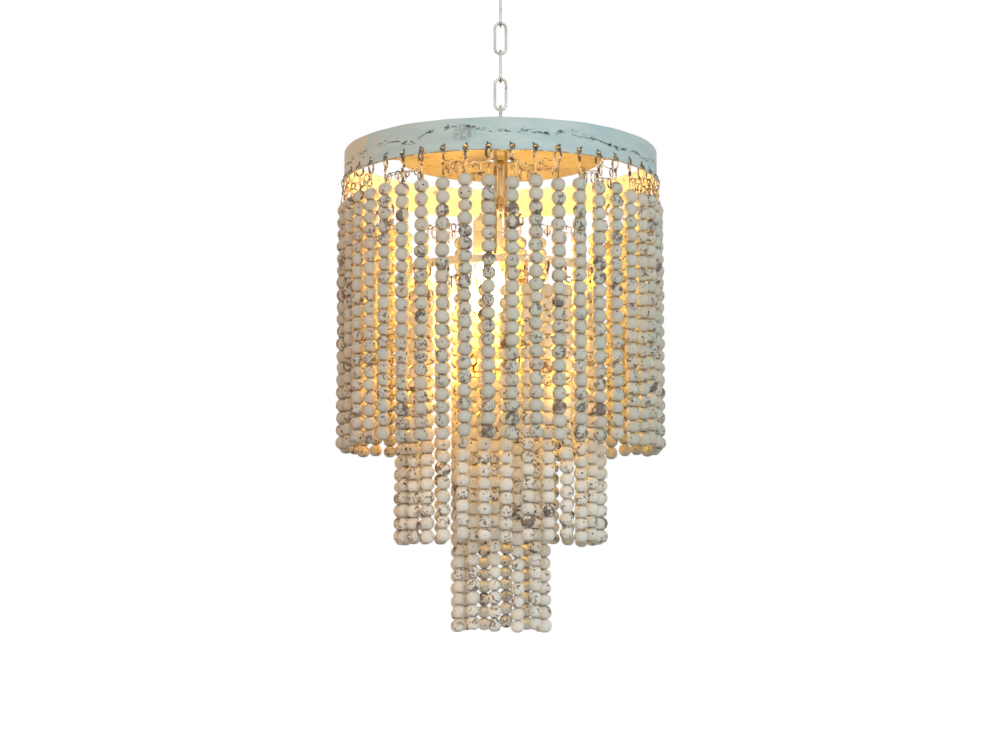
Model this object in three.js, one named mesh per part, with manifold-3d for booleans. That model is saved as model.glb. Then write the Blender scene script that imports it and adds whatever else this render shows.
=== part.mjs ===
// A beaded chandelier: three tiers of bead strings on metal hoops, with one lamp inside, on a short chain.
// Millimetres, +Z up, front towards -Y. The origin is the centre of the ceiling plate's top face.
import * as THREE from "three";
import { mergeVertices } from "three/addons/utils/BufferGeometryUtils.js";
import Module from "manifold-3d";

const wasm = await Module();
wasm.setup();

// Clearances
const seatGap = 0.3; // between two pieces that rest on or screw into each other
const drillOver = 1; // how far a drill runs past the face that it opens
const mergeDistance = 1e-4;

// Ceiling plate and its hook
const plateDiameter = 90;
const plateThickness = 5;
const plateBevel = 1.5;
const plateScrewCount = 3;
const plateScrewHole = 5;
const plateScrewCircleRadius = 32;
const hookWire = 5;
const hookInnerRadius = 9;
const hookNeck = 14; // from the plate's underside to the hook's ring
const hookSocketDepth = 3.5;
const hookArc = 285; // degrees of ring, so the rest is the mouth
const hookNutHeight = 4;
const hookNutFlats = 10;

// Chain
const linkCount = 5;
const linkWire = 3.5;
const linkInnerLength = 37.3;
const linkInnerWidth = 11;

// Eye bolt, which is also the central rod
const eyeWire = 4;
const eyeInnerRadius = 9;
const eyeNeck = 41.85; // from the eye's ring to the straps
const rodDiameter = 6;
const rodNutFlats = 10;
const rodNutHeight = 5;
const rodEnd = 3; // rod that shows under its last nut

// Straps that carry the hoops
const strapWidth = 16;
const strapThickness = 2.5;
const strapInset = 1; // from the band's upper edge down to the straps
const strapTab = 15; // length of the bent-down ends
const joggleFlat = 9.5; // half length of the cross strap's lowered middle
const joggleRun = 4;

// Carrier plate under the straps, from which the two smaller hoops hang
const carrierSheet = 1.5;
const carrierClearance = 4.3; // round the cross strap's lowered middle
const carrierRim = 1.6; // past the hangers' pads

// Hoops and the loops that hang in their holes
const hoopSheet = 1.5;
const bandHeight = 40;
const hoopHeight = 10;
const hoopHole = 5;
const holeInset = 5; // from a hoop's lower edge up to the hole's centre
const loopWire = 1.6;
const loopInside = 4.5; // from the loop's centre to the flats of its inner side
const loopSlack = 0.65; // from the hole's floor up to the loop, which lets the string swing

// Bead strings
const beadDiameter = 16;
const beadPitch = 15.5;
const spreaderRise = 3; // from the top bead to the wire that joins a group
const stringsPerGroup = 3;
const facetsPerString = 2;
const outerRadius = 200; // outside of the outer band
const outerDrop = 30.25; // from the hinge down to the top bead
const outerBeads = 20;
const outerGroups = 15;
const middleRadius = 126;
const middleStep = 120; // from the band's lower edge down to the middle hoop's
const middleDrop = 27.25;
const middleBeads = 20;
const middleGroups = 10;
const middleTurn = -0.25; // of the strings' spacing, so that the far strings hang between the near ones
const innerStep = 107; // from the middle hoop's lower edge down to the inner hoop's
const innerDrop = 27.25;
const innerBeads = 20;
const innerGroups = 4;
const innerTurn = 0.25;

// Hangers: rods brazed inside the smaller hoops, with pads under the carrier plate
const hangersPerHoop = 3;
const hangerDiameter = 4;
const hangerSink = 0.4; // into the hoop's inner face
const hangerLap = 8; // length brazed to the hoop, midway between two holes
const hangerPadDiameter = 10;
const hangerPadHeight = 1.5;
const hangerClearance = 6.4; // from the bulb to the inner hoop's hangers, measured along X

// Lamp bracket, nipple and cord grip
const lampOffset = 16; // from the rod's axis to the lamp's axis, towards -X
const bracketDrop = 60; // from the straps' top down to the bracket
const bracketWidth = 18;
const bracketThickness = 3;
const bracketEnd = 9; // past the rod's axis and past the nipple's axis
const nippleDiameter = 10;
const nippleBore = 7;
const nippleAbove = 12; // over the bracket
const nippleNutFlats = 14;
const nippleNutHeight = 4;
const gripDiameter = 14;
const gripHeight = 14;
const gripBore = 6.5;

// Lampholder
const holderGap = 8.35; // from the lower nipple nut to the lampholder
const holderRadius = 18.5;
const holderWall = 2;
const capHeight = 24;
const capShoulder = 9; // height of the cap's sloping top
const capTopRadius = 10;
const capTopWall = 2.5;
const capConeWall = 1; // less than the rim's wall, measured level
const nippleBelow = 2.5; // nipple that shows inside the cap
const shellHeight = 28;
const skirtWall = 1.6;
const spigotHeight = 5;
const spigotWall = 1.5;
const insertFlange = 6;
const insertBoss = 2.3;
const screwShellBore = 27.2;
const screwShellWall = 0.6;
const screwShellLength = 22;
const contactRadius = 4;
const contactHeight = 2.7;
const contactClearance = 2; // round the contact, in the screw shell's floor

// Lamp bulb
const bulbCapDiameter = 26.4;
const bulbCapLength = 24.7;
const bulbCapWall = 0.8;
const bulbCapShoulder = 2; // the bevel over its thread
const insulatorHeight = 2.7;
const tipHeight = 1;
const tipBevel = 1;
const bulbDiameter = 55;
const bulbNeckDiameter = 25;
const bulbNeckStraight = 8;
const bulbPearBulge = 0.35; // how much of the globe's extra radius the pear keeps half way up its slope
const bulbGlassLength = 80;
const bulbGlassWall = 1;

// Facet counts
const plateSides = 24;
const roundSides = 16;
const boreSides = 8;
const wireSides = 8;

const front = -Math.PI / 2;

// The inner hoop's hangers clear the bulb, which hangs beside the rod.
const innerHangerInside = lampOffset + bulbDiameter / 2 + hangerClearance;
const innerRadius = innerHangerInside + hangerDiameter - hangerSink + hoopSheet;
const tiers = [
  {
    name: "outer",
    groups: outerGroups,
    radius: outerRadius,
    height: bandHeight,
    drop: outerDrop,
    beads: outerBeads,
    turn: 0,
  },
  {
    name: "middle",
    groups: middleGroups,
    radius: middleRadius,
    height: hoopHeight,
    drop: middleDrop,
    beads: middleBeads,
    turn: middleTurn,
  },
  {
    name: "inner",
    groups: innerGroups,
    radius: innerRadius,
    height: hoopHeight,
    drop: innerDrop,
    beads: innerBeads,
    turn: innerTurn,
  },
];

const brass = new THREE.MeshStandardMaterial({ color: 0x8a6a3a, roughness: 0.45, metalness: 0.9 });
const chainMetal = new THREE.MeshStandardMaterial({ color: 0xb9b4a8, roughness: 0.4, metalness: 0.9 });
const bandPaint = new THREE.MeshStandardMaterial({ color: 0xb4c8c6, roughness: 0.7, metalness: 0.1 });
const hoopMetal = new THREE.MeshStandardMaterial({ color: 0x9a7c58, roughness: 0.6, metalness: 0.6 });
const beadWood = new THREE.MeshStandardMaterial({ color: 0xb9b2a2, roughness: 0.85, metalness: 0 });
const plastic = new THREE.MeshStandardMaterial({ color: 0xe4d8bd, roughness: 0.5, metalness: 0 });
const porcelain = new THREE.MeshStandardMaterial({ color: 0xf2efe6, roughness: 0.3, metalness: 0 });
const frostedGlass = new THREE.MeshStandardMaterial({ color: 0xfff2d0, roughness: 0.2, metalness: 0 });

const chandelier = new THREE.Group();

function solidOf(geometry) {
  const bare = geometry.clone();
  bare.deleteAttribute("normal");
  bare.deleteAttribute("uv");
  const merged = mergeVertices(bare, mergeDistance);
  const mesh = new wasm.Mesh({
    numProp: 3,
    vertProperties: merged.attributes.position.array,
    triVerts: new Uint32Array(merged.index.array),
  });
  return new wasm.Manifold(mesh);
}

function geometryOf(solid) {
  const mesh = solid.getMesh();
  const geometry = new THREE.BufferGeometry();
  geometry.setAttribute("position", new THREE.BufferAttribute(mesh.vertProperties, 3));
  geometry.setIndex(new THREE.BufferAttribute(mesh.triVerts, 1));
  geometry.computeVertexNormals();
  return geometry;
}

function place(name, geometry, material, turn = 0) {
  const mesh = new THREE.Mesh(geometry, material);
  mesh.name = name;
  mesh.rotation.z = turn;
  chandelier.add(mesh);
}

// A turned piece about the Z axis. The profile's [radius, height] pairs run up its outer side.
function turned(profile, segments = roundSides, start = 0) {
  const points = profile.map(([radius, height]) => new THREE.Vector2(radius, height));
  return new THREE.LatheGeometry(points, segments, start).rotateX(Math.PI / 2);
}

// A hollow turned piece, whose profile runs up its outer side, down its bore and back to its start.
function turnedRing(profile, segments = roundSides, start = 0) {
  return turned([...profile, profile[0]], segments, start);
}

function upright(radius, bottom, top, sides = boreSides) {
  const height = top - bottom;
  return new THREE.CylinderGeometry(radius, radius, height, sides)
    .rotateX(Math.PI / 2)
    .translate(0, 0, (bottom + top) / 2);
}

function hexNut(flats, bore, bottom, height) {
  const outline = new THREE.Shape();
  const corner = flats / 2 / Math.cos(Math.PI / 6);
  for (let side = 0; side < 6; side++) {
    const angle = (side * Math.PI) / 3;
    const point = [corner * Math.cos(angle), corner * Math.sin(angle)];
    if (side) outline.lineTo(...point);
    else outline.moveTo(...point);
  }
  const hole = new THREE.Path().absarc(0, 0, bore / 2 + seatGap, 0, 2 * Math.PI, true);
  outline.holes.push(hole);
  const extrusion = { depth: height, bevelEnabled: false, curveSegments: boreSides };
  return new THREE.ExtrudeGeometry(outline, extrusion).translate(0, 0, bottom);
}

// A bar whose side outline, in [along, height] pairs, is drawn in the XZ plane, with its width along Y.
function flatBar(outline, width) {
  const shape = new THREE.Shape(outline.map(([along, height]) => new THREE.Vector2(along, height)));
  return new THREE.ExtrudeGeometry(shape, { depth: width, bevelEnabled: false })
    .rotateX(Math.PI / 2)
    .translate(0, width / 2, 0);
}

// Ceiling plate: its flat top is the mount, and its underside has the hook's threaded socket.
const plateUnderside = -plateThickness;
function ceilingPlate() {
  const radius = plateDiameter / 2;
  const profile = [
    [0, plateUnderside],
    [radius - plateBevel, plateUnderside],
    [radius, plateUnderside + plateBevel],
    [radius, 0],
    [0, 0],
  ];
  const disc = turned(profile, plateSides);
  const socketTop = plateUnderside + hookSocketDepth;
  const socket = upright(hookWire / 2 + seatGap, plateUnderside - drillOver, socketTop);
  let plate = solidOf(disc).subtract(solidOf(socket));
  for (let hole = 0; hole < plateScrewCount; hole++) {
    const bore = upright(plateScrewHole / 2, plateUnderside - drillOver, drillOver);
    const angle = front + (2 * Math.PI * (hole + 0.5)) / plateScrewCount;
    bore.translate(plateScrewCircleRadius, 0, 0).rotateZ(angle);
    plate = plate.subtract(solidOf(bore));
  }
  return geometryOf(plate);
}
place("ceiling_plate", ceilingPlate(), brass);

const hookNutTop = plateUnderside - seatGap;
place("hook_lock_nut", hexNut(hookNutFlats, hookWire, hookNutTop - hookNutHeight, hookNutHeight), brass);

// Odd links, the hook and the eye lie in the YZ plane, and even links in the XZ plane.
function chainPlane(index) {
  return index % 2 === 0 ? 0 : Math.PI / 2;
}

// Ceiling hook: a shank in the plate's socket and an open ring below it.
const hookRing = hookInnerRadius + hookWire / 2;
const hookCentre = plateUnderside - hookNeck - hookRing;
const hookBottom = hookCentre - hookRing;
class HookArc extends THREE.Curve {
  getPoint(share, target = new THREE.Vector3()) {
    const angle = Math.PI / 2 - THREE.MathUtils.degToRad(hookArc) * share;
    return target.set(hookRing * Math.cos(angle), hookRing * Math.sin(angle), 0);
  }
}
function wireSection(diameter, sides) {
  const section = new THREE.Shape();
  for (let side = 0; side < sides; side++) {
    const angle = (2 * Math.PI * side) / sides;
    const point = [(diameter / 2) * Math.cos(angle), (diameter / 2) * Math.sin(angle)];
    if (side) section.lineTo(...point);
    else section.moveTo(...point);
  }
  return section;
}
function ceilingHook() {
  const extrusion = { steps: roundSides, bevelEnabled: false, extrudePath: new HookArc() };
  const ring = new THREE.ExtrudeGeometry(wireSection(hookWire, wireSides), extrusion)
    .rotateX(Math.PI / 2)
    .rotateZ(chainPlane(-1))
    .translate(0, 0, hookCentre);
  const shankTop = plateUnderside + hookSocketDepth - seatGap;
  const shank = upright(hookWire / 2, hookCentre + hookRing, shankTop);
  return geometryOf(solidOf(ring).add(solidOf(shank)));
}
place("ceiling_hook", ceilingHook(), chainMetal);

// Chain: each link hangs on the wire above it, so neighbours are one inner length less a gap apart.
const linkBend = linkInnerWidth / 2 + linkWire / 2;
const linkHalfLength = linkInnerLength / 2 + linkWire / 2;
const linkStep = linkInnerLength - seatGap;
const firstLinkCentre = hookBottom + hookWire / 2 + seatGap + linkWire / 2 - linkHalfLength;
function chainLink() {
  const bendSegments = 12;
  const halfSegment = Math.PI / bendSegments;
  const bend = linkBend / Math.cos(halfSegment);
  const link = new THREE.TorusGeometry(bend, linkWire / 2, wireSides, bendSegments);
  link.rotateZ(halfSegment);
  const stretch = linkHalfLength - linkBend;
  const position = link.attributes.position;
  for (let vertex = 0; vertex < position.count; vertex++) {
    const height = position.getY(vertex);
    position.setY(vertex, height + Math.sign(height) * stretch);
  }
  return link.rotateX(Math.PI / 2);
}
for (let index = 0; index < linkCount; index++) {
  const link = chainLink()
    .rotateZ(chainPlane(index))
    .translate(0, 0, firstLinkCentre - index * linkStep);
  place(`chain_link_${index + 1}`, link, chainMetal);
}

// Eye bolt, with the straps, the band and the lamp bracket threaded on it.
const chainFoot = firstLinkCentre - (linkCount - 1) * linkStep - linkHalfLength;
const eyeRing = eyeInnerRadius + eyeWire / 2;
const eyeCentre = chainFoot + linkWire / 2 + seatGap + eyeWire / 2 - eyeRing;
const strapTop = eyeCentre - eyeRing - eyeWire / 2 - eyeNeck;
const strapBottom = strapTop - strapThickness;
const crossMiddleTop = strapBottom - seatGap;
const crossMiddleBottom = crossMiddleTop - strapThickness;
const bracketTop = strapTop - bracketDrop;
const bracketBottom = bracketTop - bracketThickness;
const rodFoot = bracketBottom - seatGap - rodNutHeight - rodEnd;
function eyeBolt() {
  const ring = new THREE.TorusGeometry(eyeRing, eyeWire / 2, wireSides, roundSides)
    .rotateX(Math.PI / 2)
    .rotateZ(chainPlane(linkCount))
    .translate(0, 0, eyeCentre);
  const rod = upright(rodDiameter / 2, rodFoot, eyeCentre - eyeRing);
  return geometryOf(solidOf(ring).add(solidOf(rod)));
}
place("eye_bolt", eyeBolt(), chainMetal);
const rodNuts = [
  ["rod_nut_upper", strapTop + seatGap],
  ["rod_nut_lower", crossMiddleBottom - seatGap - rodNutHeight],
  ["bracket_nut_upper", bracketTop + seatGap],
  ["bracket_nut_lower", bracketBottom - seatGap - rodNutHeight],
];
for (const [name, bottom] of rodNuts) {
  place(name, hexNut(rodNutFlats, rodDiameter, bottom, rodNutHeight), brass);
}

// Straps: the cross strap dips under the long one at the rod, and both are level where the hoops are fixed.
const bandTop = strapTop + strapInset;
const bandBore = tiers[0].radius - hoopSheet;
const strapReach = Math.sqrt((bandBore - seatGap) ** 2 - (strapWidth / 2) ** 2);
function strap(dip) {
  const tabFoot = strapTop - strapTab;
  const tabInside = strapReach - strapThickness;
  const dipEnd = joggleFlat + joggleRun;
  const right = [
    [dipEnd, strapTop],
    [strapReach, strapTop],
    [strapReach, tabFoot],
    [tabInside, tabFoot],
    [tabInside, strapBottom],
    [dipEnd, strapBottom],
    [joggleFlat, strapBottom - dip],
  ];
  const mirrored = right.map(([along, height]) => [-along, height]).reverse();
  const middle = [
    [-joggleFlat, strapTop - dip],
    [joggleFlat, strapTop - dip],
  ];
  const bar = flatBar([...right, ...mirrored, ...middle], strapWidth);
  const hole = upright(rodDiameter / 2 + seatGap, tabFoot, strapTop + drillOver);
  return solidOf(bar).subtract(solidOf(hole));
}
place("long_strap", geometryOf(strap(0)), hoopMetal);
place("cross_strap", geometryOf(strap(strapThickness + seatGap)), hoopMetal, Math.PI / 2);

// Carrier plate: a flat disc under the straps, just wider than the hangers' circle and open round the rod.
const carrierTop = strapBottom - seatGap;
const carrierBottom = carrierTop - carrierSheet;
function hangerCircle(tier) {
  return tier.radius - hoopSheet + hangerSink - hangerDiameter / 2;
}
function carrierPlate() {
  const bore = Math.hypot(joggleFlat + joggleRun, strapWidth / 2) + carrierClearance;
  const edge = hangerCircle(tiers[1]) + hangerPadDiameter / 2 + carrierRim;
  const profile = [
    [edge, carrierBottom],
    [edge, carrierTop],
    [bore, carrierTop],
    [bore, carrierBottom],
  ];
  return turnedRing(profile, middleGroups * stringsPerGroup);
}
place("carrier_plate", carrierPlate(), hoopMetal);

// Hoops: the outer band stands round the straps' ends, and each smaller hoop hangs lower down, on its rods.
const bandBottom = bandTop - bandHeight;
const middleBottom = bandBottom - middleStep;
const hoopBottoms = { outer: bandBottom, middle: middleBottom, inner: middleBottom - innerStep };
function tierSizes(tier) {
  const strings = tier.groups * stringsPerGroup;
  const spacing = (2 * Math.PI) / strings;
  const bottom = hoopBottoms[tier.name];
  const top = bottom + tier.height;
  const hangRadius = tier.radius - hoopSheet / 2;
  const holeFloor = bottom + holeInset - hoopHole / 2;
  const hingeHeight = (bottom + holeFloor) / 2;
  return { strings, spacing, top, bottom, hangRadius, holeFloor, hingeHeight };
}
function hoop(tier) {
  const { strings, spacing, top, bottom, hangRadius } = tierSizes(tier);
  const facet = spacing / facetsPerString;
  const flatToCorner = 1 / Math.cos(facet / 2);
  const outer = tier.radius * flatToCorner;
  const inner = (tier.radius - hoopSheet) * flatToCorner;
  const profile = [
    [outer, bottom],
    [outer, top],
    [inner, top],
    [inner, bottom],
  ];
  const start = spacing / 2 - facet / 2;
  const ring = turnedRing(profile, strings * facetsPerString, start);
  const holeSides = 6;
  const holeRadius = hoopHole / 2 / Math.cos(Math.PI / holeSides);
  const holes = [];
  for (let string = 0; string < strings; string++) {
    const hole = new THREE.CylinderGeometry(holeRadius, holeRadius, 4 * hoopSheet, holeSides)
      .rotateZ(Math.PI / 2)
      .translate(hangRadius, 0, bottom + holeInset)
      .rotateZ(front + spacing * (string + 0.5));
    holes.push(solidOf(hole));
  }
  return solidOf(ring).subtract(wasm.Manifold.union(holes));
}
function hungHoop(tier) {
  const { top } = tierSizes(tier);
  const padTop = carrierBottom - seatGap;
  const pieces = [hoop(tier)];
  for (let hanger = 0; hanger < hangersPerHoop; hanger++) {
    const angle = front + (2 * Math.PI * hanger) / hangersPerHoop;
    const rod = upright(hangerDiameter / 2, top - hangerLap, padTop, wireSides);
    const pad = upright(hangerPadDiameter / 2, padTop - hangerPadHeight, padTop, roundSides);
    for (const piece of [rod, pad]) {
      pieces.push(solidOf(piece.translate(hangerCircle(tier), 0, 0).rotateZ(angle)));
    }
  }
  return wasm.Manifold.union(pieces);
}
function tierTurn(tier) {
  return tier.turn * tierSizes(tier).spacing;
}
place("outer_band", geometryOf(hoop(tiers[0])), bandPaint);
place("middle_hoop", geometryOf(hungHoop(tiers[1])), hoopMetal, tierTurn(tiers[1]));
place("inner_hoop", geometryOf(hungHoop(tiers[2])), hoopMetal, tierTurn(tiers[2]));

// A group of bead strings, joined by a thin spreader wire. Each string hangs by a wire loop in its own hole.
function stringGroup(tier) {
  const { spacing, hangRadius, holeFloor, hingeHeight } = tierSizes(tier);
  const stringSides = 6;
  const cornerOut = Math.PI / 2; // turns a corner of the prism away from the hoop's centre
  const loopCorners = 6;
  const loopSides = 4;
  const wireRadius = loopWire / 2;
  const loopFlat = loopInside + wireRadius;
  const loopCorner = loopFlat / Math.cos(Math.PI / loopCorners);
  const loopCentre = holeFloor + loopSlack - loopInside;
  const loopFoot = loopCentre - loopFlat;
  const beadTop = hingeHeight - tier.drop;
  const beadFoot = beadTop - tier.beads * beadPitch;
  const pieces = [];
  const places = [];
  for (let string = 0; string < stringsPerGroup; string++) {
    const angle = spacing * (string - (stringsPerGroup - 1) / 2);
    const x = hangRadius * Math.cos(angle);
    const y = hangRadius * Math.sin(angle);
    const beads = upright(beadDiameter / 2, beadFoot, beadTop, stringSides)
      .rotateZ(angle + cornerOut)
      .translate(x, y, 0);
    const shank = upright(wireRadius, beadTop - loopWire, loopFoot, loopSides).translate(x, y, 0);
    const loop = new THREE.TorusGeometry(loopCorner, wireRadius, loopSides, loopCorners)
      .rotateX(Math.PI / 2)
      .translate(x, y, loopCentre);
    pieces.push(solidOf(beads), solidOf(shank), solidOf(loop));
    places.push(new THREE.Vector2(x, y));
  }
  for (let string = 1; string < places.length; string++) {
    const span = places[string].clone().sub(places[string - 1]);
    const middle = places[string].clone().add(places[string - 1]).divideScalar(2);
    const spreader = new THREE.CylinderGeometry(wireRadius, wireRadius, span.length(), loopSides)
      .rotateZ(Math.atan2(span.y, span.x) - Math.PI / 2)
      .translate(middle.x, middle.y, beadTop + spreaderRise);
    pieces.push(solidOf(spreader));
  }
  return geometryOf(wasm.Manifold.union(pieces));
}
for (const tier of tiers) {
  const { spacing } = tierSizes(tier);
  for (let group = 0; group < tier.groups; group++) {
    const number = String(group + 1).padStart(2, "0");
    const angle = front + spacing * stringsPerGroup * (group + 0.5) + tierTurn(tier);
    place(`${tier.name}_strings_${number}`, stringGroup(tier), beadWood, angle);
  }
}

// Lamp bracket at the rod's foot, with the nipple that carries the lampholder beside the rod.
function lampBracket() {
  const outline = [
    [-lampOffset - bracketEnd, bracketBottom],
    [bracketEnd, bracketBottom],
    [bracketEnd, bracketTop],
    [-lampOffset - bracketEnd, bracketTop],
  ];
  const rodHole = upright(rodDiameter / 2 + seatGap, bracketBottom - drillOver, bracketTop + drillOver);
  const nippleHole = upright(nippleDiameter / 2 + seatGap, bracketBottom - drillOver, bracketTop + drillOver);
  nippleHole.translate(-lampOffset, 0, 0);
  const bar = solidOf(flatBar(outline, bracketWidth));
  return geometryOf(bar.subtract(solidOf(rodHole)).subtract(solidOf(nippleHole)));
}
place("lamp_bracket", lampBracket(), hoopMetal);

function placeAtLamp(name, geometry, material) {
  place(name, geometry.translate(-lampOffset, 0, 0), material);
}

const nippleNutFoot = bracketBottom - seatGap - nippleNutHeight;
const capTop = nippleNutFoot - holderGap;
const nippleTop = bracketTop + nippleAbove;
const nippleFoot = capTop - capTopWall - nippleBelow;
const nippleProfile = [
  [nippleDiameter / 2, nippleFoot],
  [nippleDiameter / 2, nippleTop],
  [nippleBore / 2, nippleTop],
  [nippleBore / 2, nippleFoot],
];
placeAtLamp("threaded_nipple", turnedRing(nippleProfile, boreSides), brass);
const upperNippleNut = hexNut(nippleNutFlats, nippleDiameter, bracketTop + seatGap, nippleNutHeight);
placeAtLamp("nipple_nut_upper", upperNippleNut, brass);
const lowerNippleNut = hexNut(nippleNutFlats, nippleDiameter, nippleNutFoot, nippleNutHeight);
placeAtLamp("nipple_nut_lower", lowerNippleNut, brass);

// Cord grip: screwed on the nipple's top, with an open bore where a cord would enter.
const gripFoot = bracketTop + 2 * seatGap + nippleNutHeight;
const gripStep = nippleTop + seatGap;
const gripProfile = [
  [gripDiameter / 2, gripFoot],
  [gripDiameter / 2, gripFoot + gripHeight],
  [gripBore / 2, gripFoot + gripHeight],
  [gripBore / 2, gripStep],
  [nippleDiameter / 2 + seatGap, gripStep],
  [nippleDiameter / 2 + seatGap, gripFoot],
];
placeAtLamp("cord_grip", turnedRing(gripProfile, boreSides), plastic);

// Lampholder cap: a hollow cone on the nipple with a straight rim.
const capFoot = capTop - capHeight;
const capBore = holderRadius - holderWall;
const capCeiling = capTop - capTopWall;
const capProfile = [
  [holderRadius, capFoot],
  [holderRadius, capTop - capShoulder],
  [capTopRadius, capTop],
  [nippleDiameter / 2 + seatGap, capTop],
  [nippleDiameter / 2 + seatGap, capCeiling],
  [capTopRadius - capConeWall, capCeiling],
  [capBore, capTop - capShoulder - capConeWall],
  [capBore, capFoot],
];
placeAtLamp("lampholder_cap", turnedRing(capProfile), plastic);

// Lampholder shell: a spigot in the cap's rim and the skirt round the lamp's cap.
const shellTop = capFoot - seatGap;
const shellFoot = shellTop - shellHeight;
const spigotTop = shellTop + spigotHeight;
const spigotRadius = capBore - seatGap;
const spigotBore = spigotRadius - spigotWall;
const skirtBore = holderRadius - skirtWall;
const shellProfile = [
  [holderRadius, shellFoot],
  [holderRadius, shellTop],
  [spigotRadius, shellTop],
  [spigotRadius, spigotTop],
  [spigotBore, spigotTop],
  [spigotBore, shellTop - holderWall],
  [skirtBore, shellTop - holderWall],
  [skirtBore, shellFoot],
];
placeAtLamp("lampholder_shell", turnedRing(shellProfile), plastic);

// Insulating insert: its flange rests on the spigot, and the contact and the screw shell are fixed under it.
const flangeFoot = spigotTop + seatGap;
const bossFoot = flangeFoot - seatGap - insertBoss;
const insertProfile = [
  [0, bossFoot],
  [spigotBore - seatGap, bossFoot],
  [spigotBore - seatGap, flangeFoot],
  [spigotRadius, flangeFoot],
  [spigotRadius, flangeFoot + insertFlange],
  [0, flangeFoot + insertFlange],
];
placeAtLamp("lampholder_insert", turned(insertProfile), porcelain);

const screwShellTop = bossFoot - seatGap;
const screwShellRadius = screwShellBore / 2 + screwShellWall;
const screwShellProfile = [
  [screwShellRadius, screwShellTop - screwShellLength],
  [screwShellRadius, screwShellTop],
  [contactRadius + contactClearance, screwShellTop],
  [contactRadius + contactClearance, screwShellTop - screwShellWall],
  [screwShellBore / 2, screwShellTop - screwShellWall],
  [screwShellBore / 2, screwShellTop - screwShellLength],
];
placeAtLamp("screw_shell", turnedRing(screwShellProfile), brass);
const contactFoot = screwShellTop - contactHeight;
placeAtLamp("centre_contact", upright(contactRadius, contactFoot, screwShellTop), brass);

// Lamp bulb: a screw cap and a pear-shaped frosted glass.
const bulbTip = contactFoot - seatGap;
const bulbCapFoot = bulbTip - bulbCapLength;
const bulbCapRadius = bulbCapDiameter / 2;
const bulbCapProfile = [
  [0, bulbTip - tipHeight - insulatorHeight - bulbCapWall],
  [bulbCapRadius - bulbCapWall, bulbTip - tipHeight - insulatorHeight - bulbCapWall],
  [bulbCapRadius - bulbCapWall, bulbCapFoot],
  [bulbCapRadius, bulbCapFoot],
  [bulbCapRadius, bulbTip - tipHeight - insulatorHeight],
  [bulbCapRadius - bulbCapShoulder, bulbTip - tipHeight - insulatorHeight / 2],
  [contactRadius + tipBevel, bulbTip - tipHeight],
  [contactRadius, bulbTip],
  [0, bulbTip],
];
placeAtLamp("bulb_cap", turned(bulbCapProfile), chainMetal);

// The glass is a thin shell, open at its neck where it is cemented in the cap.
const glassTop = bulbCapFoot - seatGap;
const globeCentre = glassTop - bulbGlassLength + bulbDiameter / 2;
function glassProfile(inset) {
  const globe = bulbDiameter / 2 - inset;
  const neck = bulbNeckDiameter / 2 - inset;
  const globeSteps = 6;
  const globeTurn = (2 * Math.PI) / 3; // from the bottom to where the globe meets the pear's slope
  const profile = [];
  for (let step = 0; step <= globeSteps; step++) {
    const angle = (globeTurn * step) / globeSteps;
    profile.push([globe * Math.sin(angle), globeCentre - globe * Math.cos(angle)]);
  }
  const [globeEnd, globeEndHeight] = profile.at(-1);
  const neckFoot = glassTop - bulbNeckStraight;
  profile.push([neck + bulbPearBulge * (globeEnd - neck), (globeEndHeight + neckFoot) / 2]);
  profile.push([neck, neckFoot], [neck, glassTop]);
  return profile;
}
const bulbGlass = [...glassProfile(0), ...glassProfile(bulbGlassWall).reverse()];
placeAtLamp("bulb_glass", turned(bulbGlass), frostedGlass);

export default chandelier;
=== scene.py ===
import math

import bmesh
import bpy
import numpy as np
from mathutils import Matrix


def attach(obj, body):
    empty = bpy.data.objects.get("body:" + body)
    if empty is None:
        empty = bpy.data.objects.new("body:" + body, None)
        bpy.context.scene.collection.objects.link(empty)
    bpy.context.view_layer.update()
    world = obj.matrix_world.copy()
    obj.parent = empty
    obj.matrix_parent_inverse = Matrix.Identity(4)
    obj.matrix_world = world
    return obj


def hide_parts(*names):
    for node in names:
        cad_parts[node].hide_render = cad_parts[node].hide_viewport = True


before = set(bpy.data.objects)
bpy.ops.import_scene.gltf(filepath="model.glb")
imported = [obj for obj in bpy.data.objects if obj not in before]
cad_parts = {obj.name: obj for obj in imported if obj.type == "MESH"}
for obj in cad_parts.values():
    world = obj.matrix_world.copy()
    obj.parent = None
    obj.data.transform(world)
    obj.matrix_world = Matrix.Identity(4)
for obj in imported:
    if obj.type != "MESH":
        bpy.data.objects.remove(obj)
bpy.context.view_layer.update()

# A beaded chandelier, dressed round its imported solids. Metres, +Z up, front towards -Y.
# Every piece keeps its object at the origin and its place in its mesh.

scene = bpy.context.scene
rng = np.random.default_rng(417)
turn = 2 * math.pi
front = -math.pi / 2
rightward = np.array([1.0, 0.0, 0.0])
upward = np.array([0.0, 0.0, 1.0])


# Angles of evenly spaced steps round a full turn.
def stepsRound(count):
    return turn * np.arange(count) / count


# Level unit vectors at some angles.
def facing(angle):
    return np.stack([np.cos(angle), np.sin(angle), 0 * angle], -1)


# Quads of a grid of points stored row by row, closed in the directions that wrap.
def gridFaces(rows, columns, wrapRows=False, wrapColumns=True):
    row = np.arange(rows if wrapRows else rows - 1)[:, None]
    column = np.arange(columns if wrapColumns else columns - 1)[None, :]
    nextRow = (row + 1) % rows
    nextColumn = (column + 1) % columns
    corners = [row * columns + column, row * columns + nextColumn]
    corners += [nextRow * columns + nextColumn, nextRow * columns + column]
    return np.stack(np.broadcast_arrays(*corners), axis=-1).reshape(-1, 4)


def addObject(name, data):
    added = bpy.data.objects.new(name, data)
    scene.collection.objects.link(added)
    return added


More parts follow.
